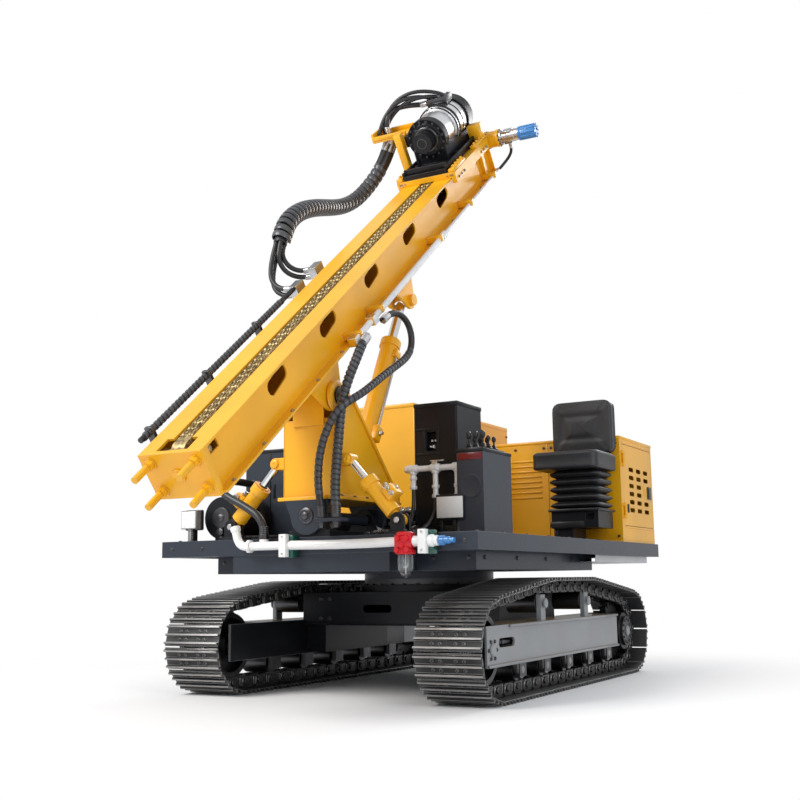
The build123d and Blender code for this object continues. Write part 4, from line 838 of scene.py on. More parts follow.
# %% [markdown]
# The rotary head. The frame's block gives its size; here its barrel gets what tells a gearbox from a turned
# bar: a black flange with a ring of screws, ground steel sleeves that mirror the room, rings with shoulders,
# and a stepped nose with a bore.

# %% Rotary head
HEAD_AT, HEAD_UP = 3.08, 0.222  # carriage's lower end along the mast, and the head's axis above its face


def on_head(profile):
    """Profile of (radius, distance from the carriage's lower end), spun round the head's axis."""
    return turned(profile, 64, (0, HEAD_AT, HEAD_UP), BACK)


def head_screws(r_screw, count, radius, at, way=-1):
    """Ring of socket screws on a face of the head, pointing to the mast's foot (-1) or its top (1)."""
    screw = spun([(0, 0), (r_screw, 0), (r_screw, 0.8 * r_screw), (0.85 * r_screw, r_screw),
        (0.5 * r_screw, r_screw), (0.5 * r_screw, 0.4 * r_screw), (0, 0.4 * r_screw)], 12)
    return moved(ring_of(screw, count, radius, 0.1), (0, HEAD_AT + at, HEAD_UP), (0, way, 0))


def sleeve(r, z0, z1, chamfer=0.004, lift=0.0006):
    """Closed ring a little outside a turned part of the frame."""
    return [(r - 0.02, z0), (r + lift - chamfer, z0), (r + lift, z0 + chamfer), (r + lift, z1 - chamfer),
        (r + lift - chamfer, z1), (r - 0.02, z1)]


mast_piece("head_flange", [on_head([(0.066, 0.186), (0.1, 0.186), (0.104, 0.19), (0.126, 0.19),
    (0.1306, 0.195), (0.1306, 0.246), (0.126, 0.2505), (0.09, 0.2505)]),
    on_head(sleeve(0.14, 0.43, 0.45, 0.003, 0.004)), on_head(sleeve(0.143, 0.6, 0.612)),
    on_head(sleeve(0.143, 0.672, 0.69)), on_head(sleeve(0.136, 0.612, 0.672))], "carriage", black_paint)
mast_piece("head_sleeves", [on_head(sleeve(0.124, 0.2515, 0.399)),
    on_head(sleeve(0.1405, 0.399, 0.4295, 0.01)), on_head(sleeve(0.132, 0.4505, 0.5995))], "carriage", satin)
mast_piece("head_band", [on_head(sleeve(0.1325, 0.522, 0.53, 0.001, 0.003))], "carriage", black_paint)
mast_piece("head_screws", [head_screws(0.0085, 16, 0.115, 0.19), head_screws(0.006, 18, 0.131, 0.406),
    head_screws(0.007, 12, 0.128, 0.69, 1), head_screws(0.009, 6, 0.082, 0.186)], "carriage", dark_steel)
mast_piece("head_nose", [on_head([(0.0, 0.15), (0.03, 0.15), (0.032, 0.104), (0.04, 0.1045), (0.046, 0.109),
    (0.0606, 0.109), (0.0646, 0.114), (0.0646, 0.168), (0.06, 0.1755), (0.0, 0.1755)])], "spindle",
    black_paint)
mast_piece("head_seal",
    [on_head([(0.066, 0.178), (0.078, 0.178), (0.082, 0.182), (0.082, 0.19), (0.066, 0.19)])], "carriage",
    dark_steel, slot="black_paint")
mast_piece("nose_lip", [on_head([(0.058, 0.1085), (0.0625, 0.1085), (0.0635, 0.11), (0.058, 0.112)]),
    on_head([(0.028, 0.1035), (0.033, 0.1035), (0.034, 0.105), (0.028, 0.106)])], "spindle", dark_steel,
    slot="steel")
block = [soft_box((0.12, HEAD_AT + 0.56, 0.057), (0.205, HEAD_AT + 0.636, 0.15), 0.005),
    soft_box((-0.205, HEAD_AT + 0.56, 0.057), (-0.15, HEAD_AT + 0.636, 0.12), 0.005),
    soft_box((-0.205, HEAD_AT + 0.15, 0.057), (-0.155, HEAD_AT + 0.2, 0.3), 0.005)]
mast_piece("head_blocks", block, "carriage", yellow)

# black bed under the barrel, with a rim along both sides and screws in it
bed = [soft_box((s * 0.15 - 0.008, HEAD_AT + 0.012, 0.06), (s * 0.15 + 0.008, HEAD_AT + 0.628, 0.085), 0.004)
    for s in (-1, 1)]
for t in (0.03, 0.3, 0.605):
    bed.append(
        soft_box((-0.148, HEAD_AT + t, 0.064), (0.148, HEAD_AT + t + 0.014, 0.1 - 0.02 * (t == 0.3)), 0.004))
for s in (-1, 1):
    bed.append(side_plate([(HEAD_AT + 0.18, 0.06), (HEAD_AT + 0.62, 0.06), (HEAD_AT + 0.6, 0.13),
        (HEAD_AT + 0.26, 0.17), (HEAD_AT + 0.19, 0.17)], s * 0.108 - 0.006, s * 0.108 + 0.006, 0.002))
mast_piece("head_bed", bed, "carriage", black_paint)
mast_piece("head_bed_bolts", [bolt(0.01, 0.008, (s * 0.13, HEAD_AT + t, 0.064), UP) for s in (-1, 1)
    for t in (0.07, 0.19, 0.31, 0.43, 0.55)], "carriage", dark_steel)
mast_piece("port_cover", [soft_box((-0.074, HEAD_AT + 0.496, 0.36), (0.074, HEAD_AT + 0.604, 0.394), 0.004)]
    + [bolt(0.007, 0.006, (x, HEAD_AT + t, 0.394), UP) for x in (-0.055, 0.055) for t in (0.515, 0.585)],
    "carriage", dark_steel, slot="black_paint")

# three more hoses arch from the bracket over the head to its rear block
arches = []
for k, (x0, x1, rise) in enumerate(((-0.375, -0.05, 0.19), (-0.35, 0.0, 0.15), (-0.385, 0.05, 0.235))):
    s = np.linspace(0, 1, 40)
    x = x0 + (x1 - x0) * s ** 1.3
    along = HEAD_AT + 0.3 + 0.05 * k + (0.235 - 0.05 * k) * s
    lift = 0.273 + (0.393 - 0.273) * s + rise * np.sin(np.pi * s) ** 0.8 * 0.55
    arches.append(swept(np.stack([x, along, lift], -1), circle(0.0125, 12), (0, 1, 0.1)))
mast_piece("head_arches", arches, "carriage", hose_rubber)

# %% [markdown]
# The carriage slides on the mast's front flange. Rows of adjusting screws press its wear strips: they stand
# along the lower end and down both sides.

# %% Carriage
rows = [(x, HEAD_AT + 0.004, 0.018) for x in (-0.186, -0.172, -0.15, 0.15, 0.172, 0.186)]
side_rows = [(s * 0.206, HEAD_AT + t, -0.012) for s in (-1, 1) for t in (0.05, 0.1, 0.15, 0.49, 0.54, 0.59)]
top_rows = [(s * 0.188, HEAD_AT + t) for s in (-1, 1) for t in (0.04, 0.09, 0.14, 0.19, 0.45, 0.5, 0.55, 0.6)]
slab = [soft_box((x, HEAD_AT + t0, 0.0345), (x1, HEAD_AT + t1, 0.056), 0.004) for t0, t1 in ((0.001, 0.215),
    (0.425, 0.639)) for x, x1 in ((-0.205, -0.164), (0.164, 0.205))]
mast_piece("carriage_pads", slab + [bolt(0.009, 0.014, (x, y, 0.056), UP, washer=False) for x, y in top_rows],
    "carriage", yellow)
mast_piece("carriage_screws", [bolt(0.007, 0.007, place, FRONT) for place in rows]
    + [bolt(0.008, 0.007, place, (place[0], 0, 0)) for place in side_rows], "carriage", brown_steel)
mast_piece("bracket_trim", [soft_box((-0.401, HEAD_AT + 0.236, 0.2725), (-0.15, HEAD_AT + 0.246, 0.3), 0.003),
    soft_box((-0.401, HEAD_AT + 0.394, 0.2725), (-0.15, HEAD_AT + 0.404, 0.3), 0.003)]
    + [bolt(0.009, 0.008, (-0.162, HEAD_AT + t, 0.2731), UP) for t in (0.205, 0.23)], "carriage", yellow)
print("head and carriage done")

# %% [markdown]
# The feed drive at the mast's top: a yellow planetary gearbox with a bolted flange, a bare hydraulic motor
# and a blue end cap with ribs.

# %% Feed drive
DRIVE_AT = (3.785, -0.005)  # along the mast and above its face


def on_drive(profile, sides=40):
    """Profile of (radius, distance from the machine's middle), spun round the feed drive's axis."""
    return turned(profile, sides, (0, *DRIVE_AT), RIGHT)


def drive_bolts(r, count, radius, x, way=1):
    return moved(ring_of(hex_bolt(r, 0.8 * r), count, radius), (x, *DRIVE_AT), (way, 0, 0))


mast_piece("feed_gearbox", [on_drive([(0.0, 0.1405), (0.056, 0.1405), (0.056, 0.171), (0.06, 0.174),
    (0.06, 0.188), (0.054, 0.191), (0.054, 0.252), (0.058, 0.256), (0.058, 0.271), (0.054, 0.275),
    (0, 0.275)]), soft_box((0.1405, 3.728, -0.062), (0.172, 3.842, -0.0125), 0.004)], "mast", yellow,
    replaces=["feed_drive"])
mast_piece("feed_motor", [on_drive([(0, 0.275), (0.046, 0.275), (0.048, 0.278), (0.048, 0.292), (0.04, 0.296),
    (0.04, 0.33), (0.042, 0.333), (0.042, 0.378), (0.04, 0.381), (0.04, 0.409), (0, 0.409)]),
    soft_box((0.3, 3.752, 0.02), (0.366, 3.812, 0.04), 0.004)], "mast", steel)
mast_piece("feed_port", [turned(
    [(0, -0.048), (0.0145, -0.048), (0.0145, -0.034), (0.018, -0.03), (0.018, 0.0), (0, 0.0)], 20,
    (0.33, *DRIVE_AT), UP), soft_box((0.304, 3.752, -0.049), (0.356, 3.818, -0.03), 0.004)], "mast",
    brown_steel, slot="steel")
motor_cap = [on_drive([(0, 0.41), (0.044, 0.41), (0.0465, 0.413), (0.0465, 0.424), (0.042, 0.427),
    (0.042, 0.521), (0.037, 0.529), (0, 0.529)])]
for a in np.arange(10) * math.pi / 5:
    rib = soft_box((0.43, -0.0055, 0.038), (0.534, 0.0055, 0.0475), 0.002)
    c, s = math.cos(a), math.sin(a)
    motor_cap.append((np.stack([rib[0][:, 0], DRIVE_AT[0] + c * rib[0][:, 1] - s * rib[0][:, 2], DRIVE_AT[1]
        + s * rib[0][:, 1] + c * rib[0][:, 2]], -1), rib[1]))
mast_piece("feed_motor_cap", motor_cap + [drive_bolts(0.008, 5, 0.026, 0.529)], "mast", blue_metal)
mast_piece("feed_bolts", [drive_bolts(0.006, 10, 0.051, 0.275), drive_bolts(0.0055, 8, 0.043, 0.2925),
    drive_bolts(0.006, 12, 0.0535, 0.1905, -1)], "mast", dark_steel)
print("feed drive done")

# %% [markdown]
# The mast is a box of welded plate with a chain in its front. Bolted and welded things give it scale: nuts on
# the studs at its foot, ribs at its top, and the links of the chain itself.

# %% Mast
nuts = [(x, -0.028, h) for x in (-0.12, 0.12) for h in (-0.045, -0.183)]
stud_nuts = [turned([(0.016, 0), (0.027, 0), (0.027, 0.022), (0.023, 0.026), (0.016, 0.026)], 6, p, BACK)
    for p in nuts]
washer = [(0.016, 0), (0.031, 0), (0.031, 0.004), (0.016, 0.004)]
stud_nuts += [turned(washer, 20, (x, -0.0045, h), BACK) for x, _, h in nuts]
threads = [(0.0162 + 0.0006 * (k % 2), -0.12 + 0.003 * k) for k in range(30)]
stud_nuts += [turned([(0.0, -0.1248)] + threads + [(0.0, -0.03)], 16, (x, 0, h), BACK) for x, _, h in nuts]
mast_piece("stud_nuts", stud_nuts, "mast", yellow)
boss = spun([(0, 0), (0.034, 0), (0.034, 0.01), (0.022, 0.01), (0.022, 0.014), (0.012, 0.016), (0, 0.016)],
    32)
mast_piece("foot_boss", [moved(boss, (0, 0, -0.114), FRONT)], "mast", yellow)
ribs = [soft_box((0.1405, t - 0.017, -0.21), (0.245, t + 0.017, -0.172), 0.004)
    for t in (1.35, 1.64, 2.56, 3.12, 3.6)]
ribs += [soft_box((0.198, t - 0.025, -0.224), (0.2465, t + 0.025, -0.176), 0.004) for t in (1.3, 1.53)]
for side in (-1, 1):
    x0, x1 = sorted((side * 0.1395, side * 0.1675))
    for t in (0.028, 3.8):
        ribs.append(
            side_plate([(t, -0.215), (t + 0.01, -0.215), (t + 0.01, -0.0125), (t, -0.0125)], x0, x1, 0.0015))
# brackets for the feed drive, and the two guards of the chain's upper wheel
ribs.append(side_plate([(3.64, -0.2), (3.7, -0.0125), (3.64, -0.0125)], 0.141, 0.165, 0.0015))
ribs += [soft_box((x, 3.745, -0.01), (x + 0.01, 3.829, 0.055), 0.003) for x in (-0.07, 0.06)]
ribs += [soft_box((-0.168, 3.79, -0.002), (-0.08, 3.829, 0.048), 0.004),
    soft_box((0.074, 3.7, -0.002), (0.168, 3.829, 0.058), 0.004)]
mast_piece("mast_ribs", ribs, "mast", yellow)
mast_piece("mast_rib_bolts",
    [bolt(0.009, 0.008, (x, t, 0.058), UP) for x in (0.095, 0.145) for t in (3.725, 3.8)]
    + [moved(ring_of(hex_bolt(0.011, 0.009), 6, 0.046), (-0.1405, 0.095, -0.054), (-1, 0, 0))]
    + [bolt(0.008, 0.007, (side * 0.181, t, -0.2155), UP) for side in (-1, 1)
        for t in np.arange(0.1, 3.8, 0.28)], "mast", brown_steel)
pin_end = [(0, 0), (0.046, 0), (0.05, 0.004), (0.05, 0.01), (0.044, 0.013), (0.018, 0.013), (0.014, 0.009),
    (0, 0.009)]
piece("pivot_caps", [turned(pin_end, 32, (s * 0.164, *MAST_PIVOT), (s, 0, 0)) for s in (-1, 1)]
    + [moved(ring_of(hex_bolt(0.007, 0.006), 4, 0.034), (s * 0.177, *MAST_PIVOT), (s, 0, 0))
        for s in (-1, 1)], "column", dark_steel)

# %% Hoses beside the mast
# Three hoses in spiral guards lie along its left side, the outer one level with the front face.
lanes = [((-0.194, -0.066), 0.15), ((-0.194, -0.108), 0.15), ((-0.237, 0.004), 0.12)]
side_parts, guard_parts = [], []
for (x, h), t0 in lanes:
    path = on_mast(np.stack([np.full(60, x), np.linspace(t0, 1.612, 60), np.full(60, h)], -1))
    side_parts.append(swept(path, circle(0.0135, 12)))
    guard_parts.append(wound(path, 0.0135, 0.03, 0.022, 0.0045, 0.02, 1.36, steps=12))
piece("side_hoses", side_parts, "mast", hose_rubber, replaces=["mast_side_hoses"])
piece("side_guards", guard_parts, "mast", guard_plastic)
mast_piece("side_clips",
    [soft_box((-0.218, t - 0.012, -0.132), (-0.1405, t + 0.012, -0.042), 0.003) for t in (0.2, 0.7, 1.2)]
    + [soft_box((-0.258, t - 0.01, -0.06), (-0.2145, t + 0.01, 0.026), 0.003) for t in (0.2, 0.7, 1.2)],
    "mast", dark_steel)

# %% Feed chain
# Two rows of plates on rollers: outer and inner plates take turns, and every pin has a roller between them.
CHAIN_PITCH, LINK_AXIS = 0.0508, -0.0055 - 0.004
pitches = np.arange(0.15, 3.7, CHAIN_PITCH)
one_plate = []
for k, t in enumerate(pitches[:2]):
    for x in ((-0.03, -0.007, 0.007, 0.03), (-0.0255, -0.0115, 0.0115, 0.0255))[k]:
        a = np.linspace(0, 2 * np.pi, 16, endpoint=False)
        outline = [(t + CHAIN_PITCH / 2 + (CHAIN_PITCH / 2 + 0.012) * math.cos(b), LINK_AXIS
            + 0.0125 * math.sin(b) * (0.75 + 0.25 * abs(math.cos(b)))) for b in a]
        one_plate.append(side_plate(outline, x - 0.0018, x + 0.0018, 0.0005))
rollers = [turned([(0, -0.033), (0.0085, -0.033), (0.0085, 0.033), (0, 0.033)], 14, (0, t, LINK_AXIS), RIGHT)
    for t in pitches[:2]]
barrels = [turned([(0, x0), (0.0125, x0), (0.0125, x1), (0, x1)], 16, (0, t, LINK_AXIS), RIGHT)
    for t in pitches[:2] for x0, x1 in ((-0.0235, -0.0135), (0.0135, 0.0235))]
places = [(0, 2 * CHAIN_PITCH * k, 0) for k in range(len(pitches) // 2)]
mast_piece("chain_links", [copies(joined(one_plate + rollers + barrels), places)], "mast", chain_metal, 30,
    "chain")
print("mast and chain done")

# %% [markdown]
# The side cylinders and the tilting column. A cylinder reads as one by its parts: a mitred tube, a screwed
# gland whose spanner holes are flat black discs of painted shade, a wiper ring, a plated rod and eyes with
# caps. Each part spins about the line from the foot's pin to the eye's pin and rides on the barrel's own
# body.

# %% Cylinders
def on_line(start, axis, profile, sides=32):
    """Profile of (radius, distance) spun about a line from its start."""
    return turned(profile, sides, start, axis)


def collar(r, r_out, z0, z1, chamfer=0.0015):
    """Closed ring between two radii."""
    return [(r, z0), (r_out - chamfer, z0), (r_out, z0 + chamfer), (r_out, z1 - chamfer),
        (r_out - chamfer, z1), (r, z1)]


SIDE_Y = -1.233  # the plane the side cylinders stand in
hexagon = spun([(0, 0), (0.013, 0), (0.014, 0.002), (0.014, 0.01), (0.01, 0.013), (0.01, 0.026), (0, 0.027)],
    6)
for side, word in ((1, "right"), (-1, "left")):
    foot, eye = np.array([side * 0.495, SIDE_Y, 0.868]), np.array([side * 0.215, SIDE_Y, 1.178])
    axis = (eye - foot) / np.linalg.norm(eye - foot)
    out = np.array([axis[2], 0, -axis[0]]) * side
    body = f"side_barrel_{word}"
    piece(f"side_gland_{word}", [on_line(foot, axis, collar(0.02, 0.0486, 0.226, 0.266)),
        on_line(foot, axis, collar(0.019, 0.036, 0.2702, 0.276)),
        on_line(foot, axis, collar(0.03, 0.0412, 0.055, 0.064)), moved(
            soft_box((-0.031, -0.036, -0.03), (0.031, 0.038, 0.03), 0.004), foot + 0.128 * axis + 0.062 * out,
            out, axis)], body, yellow)
    # the gland's spanner holes are not cut: eight flat black discs on its face are painted shade of the holes
    hole_shade_discs = [turned([(0, 0), (0.0035, 0), (0.0035, 0.0008), (0, 0.0008)], 10, foot + axis * 0.2702
        + 0.041 * (math.cos(a) * out + math.sin(a) * np.array([0, 1, 0])), axis)
        for a in np.arange(8) * math.pi / 4]
    piece(f"side_wiper_and_hole_shade_{word}", hole_shade_discs + [on_line(foot, axis, collar(0.0186, 0.024, 0.276, 0.281))], body,
        black_plastic, slot="hose")
    piece(f"side_ports_{word}",
        [moved(hexagon, foot + axis * s + out * 0.07 + (0, -0.034, 0), FRONT) for s in (0.112, 0.148)]
        + [moved(hexagon, foot + axis * 0.166 + out * 0.06, axis, scale=0.9),
            turned(button(0.01, 0.006, 0.006, 0.009), 20, foot + axis * 0.13 + out * 0.092, out)], body,
        steel)
    piece(f"side_caps_{word}", [
        turned(button(0.015, 0.003, 0.011, 0.006), 24, foot + (0, s * 0.0383, 0), (0, s, 0))
        for s in (-1, 1)], "deck", steel)
    piece(f"rod_eye_{word}", [turned([(0.016, -0.0197), (0.0292, -0.0197), (0.0306, -0.018), (0.0306, 0.018),
        (0.0292, 0.0197), (0.016, 0.0197)], 36, eye, BACK)], f"side_rod_{word}", yellow)
    pin = [(0, 0), (0.022, 0), (0.022, 0.006), (0.017, 0.009), (0.007, 0.009), (0.006, 0.006), (0, 0.006)]
    piece(f"eye_caps_{word}", [turned(pin, 28, eye + (0, s * 0.0323, 0), (0, s, 0)) for s in (-1, 1)],
        "column", yellow)

lift_foot, lift_axis = np.array([0.0, -0.78, 1.24]), np.array([0.0, 0.452392, 0.891819])
fore = np.array([0.0, -0.891819, 0.452392])
across_x = np.array([1.0, 0, 0])
piece("lift_gland", [on_line(lift_foot, lift_axis, collar(0.03, 0.0606, 0.742, 0.786)),
    on_line(lift_foot, lift_axis, collar(0.029, 0.046, 0.7902, 0.798)),
    on_line(lift_foot, lift_axis, collar(0.04, 0.054, 0.07, 0.086)), moved(
        soft_box((-0.024, -0.026, 0.046), (0.024, 0.026, 0.074), 0.004), lift_foot + 0.69 * lift_axis,
        across_x, lift_axis), moved(soft_box((-0.045, -0.028, 0.046), (0.045, 0.028, 0.082), 0.004), lift_foot
            + 0.15 * lift_axis, across_x, lift_axis)], "lift_barrel", yellow)
pipe_line = [lift_foot + t * lift_axis + x * across_x for t, x in ((0.19, 0.064), (0.215, 0.0645),
    (0.235, 0.065), (0.64, 0.065), (0.655, 0.0645), (0.668, 0.062))]
piece("lift_pipe", [swept(pipe_line, circle(0.007, 12), fore),
    moved(hexagon, lift_foot + 0.15 * lift_axis + 0.08 * across_x, across_x),
    moved(hexagon, lift_foot + 0.19 * lift_axis + 0.06 * across_x, lift_axis, scale=0.8),
    moved(hexagon, lift_foot + 0.664 * lift_axis + 0.06 * across_x, -lift_axis, scale=0.8)], "lift_barrel",
    steel)
piece("lift_wiper", [on_line(lift_foot, lift_axis, collar(0.0285, 0.034, 0.798, 0.804))], "lift_barrel",
    black_plastic, slot="hose")

# %% Column
edges = [soft_box((-0.172, -1.302, 0.983), (0.172, -1.262, 0.9845 + 0.017), 0.003)]
for side in (-1, 1):
    x0, x1 = sorted((side * 0.1505, side * 0.1565))
    edges += [soft_box((x0, -1.272, 1.0), (x1, -1.24, 1.435), 0.002),
        soft_box((x0, -1.262, 1.0), (x1, -0.65, 1.012), 0.002)]
    boss = [(0.05, 0), (0.078, 0), (0.078, 0.006), (0.07, 0.01), (0.05, 0.01)]
    edges.append(turned(boss, 40, (side * 0.1502, *MAST_PIVOT), (side, 0, 0)))
piece("column_edges", edges, "column", yellow)
piece("column_bolts", [bolt(0.008, 0.007, (x, -1.276, 1.372), FRONT) for x in (-0.072, 0.072)]
    + [bolt(0.009, 0.008, (s * 0.16, y, 1.0005), UP) for s in (-1, 1)
        for y in (-1.22, -1.1, -0.98, -0.86, -0.74)], "column", dark_steel)
lug = button(0.02, 0.005, 0.016, 0.007)
piece("tilt_caps", [turned(button(0.041, 0.005, 0.036, 0.008), 36, (0, -1.3002, 0.905), FRONT),
    turned(lug, 6, (0, -1.312, 0.905), FRONT),
    moved(ring_of(hex_bolt(0.0055, 0.005, False), 4, 0.031, 0.78), (0, -1.308, 0.905), FRONT)], "column",
    dark_steel)
piece("hose_nuts", [turned([(0, 0), (r, 0), (r, 0.014), (0.8 * r, 0.017), (0.7 * r, 0.03), (0, 0.03)], 6,
    (x, y, 0.869), (0, 0, -1)) for x, y, r in ((0.116, -1.342, 0.021), (0.2, -1.34, 0.024))], "column",
    dark_steel)
print("cylinders and column done")

# %% [markdown]
# On the deck stand plain sheet-metal covers. Their seams, hinges and latches come as thin added parts, and
# the air line gets its elbow, ring nut, two-part clamps and a lubricator with a ribbed clear bowl.

# %% Air line
ON_DECK = 0.8025  # just above the deck's plate
LINE_Y, LINE_Z = -1.34, 0.762  # the air line's axis
BEND_R, BEND_TURN = 0.058, 1.3  # its elbow: radius, and how far it turns
tube = [(x, LINE_Y, LINE_Z) for x in (-0.109, -0.15, -0.24, -0.31, -0.33)]
bend = [(-0.335 - BEND_R * math.sin(a), LINE_Y, LINE_Z + BEND_R - BEND_R * math.cos(a))
    for a in np.linspace(0.05, BEND_TURN, 12)]
rising = np.array([-math.cos(BEND_TURN), 0, math.sin(BEND_TURN)])
ends = [tuple(np.array(bend[-1]) + s * rising) for s in (0.012, 0.035, 0.062)]
right_line = [(x, LINE_Y, LINE_Z) for x in (-0.073, 0.0, 0.2, 0.4, 0.534)]
sag = [(x, y, z - 0.004 * math.sin(math.pi * (x + 0.073) / 0.607)) for x, y, z in right_line]
nut_turn = spun([(0.02, 0), (0.033, 0), (0.034, 0.003), (0.034, 0.014), (0.033, 0.017), (0.02, 0.017)], 8)
piece("line_tubes", [swept(tube + bend + ends, circle(0.0215, 28), BACK),
    swept(sag, circle(0.0225, 28), BACK), moved(nut_turn, (-0.322, LINE_Y, LINE_Z), RIGHT),
    turned([(0, 0), (0.0245, 0), (0.026, 0.004), (0.026, 0.02), (0.0245, 0.024), (0, 0.024)], 24, ends[1],
        rising), turned(button(0.0228, 0.036, 0.019, 0.038), 28, (-0.232, -1.332, 0.7575), UP),
    turned([(0, 0), (0.0245, 0), (0.0245, 0.03), (0.0225, 0.034), (0.0225, 0.066), (0, 0.066)], 28,
        (0.6257, LINE_Y, LINE_Z), RIGHT), turned([(0, 0), (0.026, 0), (0.029, 0.006), (0.029, 0.022),
            (0.026, 0.028), (0.02, 0.034), (0.024, 0.04), (0.024, 0.05), (0.016, 0.054), (0, 0.054)], 20,
            (0.7025, LINE_Y, LINE_Z), RIGHT)], "deck", white_plastic, replaces=["air_line"])
piece("line_coupling", [turned([(0, 0), (0.015, 0), (0.02, 0.004), (0.02, 0.026), (0.017, 0.03),
    (0.017, 0.05), (0.013, 0.056), (0.013, 0.078), (0, 0.08)], 20, (0.7565, LINE_Y, LINE_Z), RIGHT),
    moved(ring_of(soft_box((-0.003, -0.003, 0.002), (0.003, 0.003, 0.028), 0.001), 10, 0.0205),
        (0.7565, LINE_Y, LINE_Z), RIGHT)], "deck", blue_metal)
fronts, backs, screws = [], [], []
for x0, x1 in ((-0.115, -0.073), (0.66, 0.702)):
    middle = (x0 + x1) / 2
    fronts.append(soft_box((x0, LINE_Y - 0.034, LINE_Z - 0.058), (x1, LINE_Y - 0.001, LINE_Z + 0.054), 0.004))
    backs.append(
        soft_box((x0 + 0.001, LINE_Y + 0.001, LINE_Z - 0.06), (x1 + 0.02, -1.291, LINE_Z + 0.05), 0.003))
    screws += [bolt(0.006, 0.005, (middle, LINE_Y - 0.033, LINE_Z + s * 0.042), FRONT) for s in (-1, 1)]
piece("clamp_fronts", fronts, "deck", white_plastic, replaces=["line_clamps"])
piece("clamp_backs", backs, "deck", green_clamp)
piece("clamp_screws", screws, "deck", steel)
LUB = (0.58, LINE_Y, 0)
lubricator_line = [(0, 0.702), (0.04, 0.702), (0.044, 0.706), (0.044, 0.722), (0.038, 0.726), (0.038, 0.786),
    (0.044, 0.79), (0.044, 0.8), (0.036, 0.806), (0, 0.806)]
lobes = [turned([(0, -0.01), (0.012, -0.01), (0.014, -0.006), (0.014, 0.006), (0.012, 0.01), (0, 0.01)], 16,
    (LUB[0] + dx, LINE_Y - 0.036, z), FRONT) for dx, z in ((-0.022, 0.776), (0.022, 0.776), (0, 0.744),
        (-0.026, 0.722), (0.026, 0.722))]
piece("lubricator_cap", [turned(lubricator_line, 40, LUB),
    soft_box((0.5345, LINE_Y - 0.03, 0.732), (0.6255, LINE_Y + 0.03, 0.792), 0.006)] + lobes
    + [moved(ring_of(soft_box((-0.003, -0.004, 0.704), (0.003, 0.004, 0.724), 0.001), 18, 0.0435), LUB)],
    "deck", red_plastic, replaces=["lubricator"])
glass = [(0.0, 0.5935), (0.006, 0.5935), (0.007, 0.6), (0.02, 0.604), (0.03, 0.614), (0.035, 0.63),
    (0.036, 0.7), (0.0325, 0.7), (0.0315, 0.632), (0.027, 0.618), (0.018, 0.609), (0.0, 0.606)]
ribs_out = ring_of(soft_box((-0.0016, -0.0016, 0.626), (0.0016, 0.0016, 0.699), 0.0008), 8, 0.0362)
piece("lubricator_bowl", [turned(glass, 40, LUB), moved(ribs_out, LUB)], "deck", clear_plastic, 40, "lamp")
piece("lubricator_stem", [turned([(0, 0.612), (0.003, 0.612), (0.003, 0.64), (0.009, 0.642), (0.009, 0.65),
    (0.003, 0.652), (0.003, 0.702), (0, 0.702)], 14, LUB)], "deck", white_plastic)

# %% [markdown]
# The manifold has three legs with unions, and each goes on as a black hose to the deck. Between the side
# plates and behind the column lie more hoses, which in the open machine fill the space under its foot.

# %% Manifold and deck hoses
UNION_Y = -0.672  # the plane the three legs stand in
fitting = [(0, 0), (0.0185, 0), (0.02, 0.003), (0.02, 0.016), (0.0185, 0.019), (0, 0.019)]
unions = []
for x, z in ((0.267, 1.06), (0.4, 1.01), (0.53, 1.01)):
    unions += [turned(fitting, 6, (x, UNION_Y, z + k), UP) for k in (0.002, 0.052)]
    unions.append(turned(
        [(0, -0.026), (0.021, -0.026), (0.023, -0.022), (0.023, 0.022), (0.021, 0.026), (0, 0.026)], 20,
        (x, UNION_Y, 1.17), RIGHT))
    unions.append(turned(fitting, 8, (x, UNION_Y, 1.14), UP))
unions.append(turned(fitting, 6, (0.222, UNION_Y, 1.17), RIGHT))
piece("manifold_unions", unions, "deck", white_paint)
piece("manifold_valve", [soft_box((0.384, -0.688, 1.15), (0.416, -0.656, 1.204), 0.005),
    soft_box((0.372, -0.68, 1.204), (0.452, -0.664, 1.212), 0.003)], "deck", steel)


def smooth_line(points, steps=60):
    """Line through points, smoothed by averaging a few times, for hoses that only lie there."""
    path = evenly(np.asarray(points, float), 0.01)[0]
    path = np.stack(
        [np.interp(np.linspace(0, 1, steps), np.linspace(0, 1, len(path)), path[:, k]) for k in range(3)], -1)
    for _ in range(40):
        path[1:-1] = (path[:-2] + 2 * path[1:-1] + path[2:]) / 4
    return path


routes = [([(0.267, UNION_Y, 1.062), (0.267, -0.674, 0.98), (0.262, -0.69, 0.88), (0.232, -0.7, 0.83),
            (0.19, -0.56, 0.815)], 0.01),
          ([(0.4, UNION_Y, 1.012), (0.402, -0.68, 0.93), (0.37, -0.735, 0.85), (0.3, -0.8, 0.818),
            (0.235, -0.86, 0.815)], 0.01),
          ([(0.53, UNION_Y, 1.012), (0.532, -0.68, 0.93), (0.545, -0.705, 0.86),
            (0.56, -0.73, 0.806)], 0.013)]
for k in range(5):
    x = 0.17 + 0.045 * k
    routes.append(([(x - 0.1, -0.3, 0.86 + 0.02 * k), (x, -0.42, 0.9 + 0.025 * (k % 3)),
        (x + 0.05, -0.6, 0.86), (x + 0.02, -0.8, 0.826), (0.2 + 0.018 * k, -1.0, 0.816 + 0.016 * (k % 2)),
        (0.24 + 0.03 * k, -1.12, 0.814)], 0.011))
for k in range(4):
    routes.append(([(-0.17 - 0.02 * k, -0.62, 0.93), (-0.19 - 0.02 * k, -0.76, 0.86),
        (-0.21 - 0.03 * k, -0.95, 0.818), (-0.25 - 0.05 * k, -1.1, 0.815), (-0.36 - 0.04 * k, -1.21, 0.815)],
        0.01))
piece("deck_plumbing", [swept(smooth_line(points), circle(r, 10), (0.3, 0.2, 1)) for points, r in routes],
    "deck", hose_rubber)
bank_and_shade_sheet = [soft_box((-0.02, -0.56, ON_DECK), (0.235, -0.33, 0.872), 0.006)]
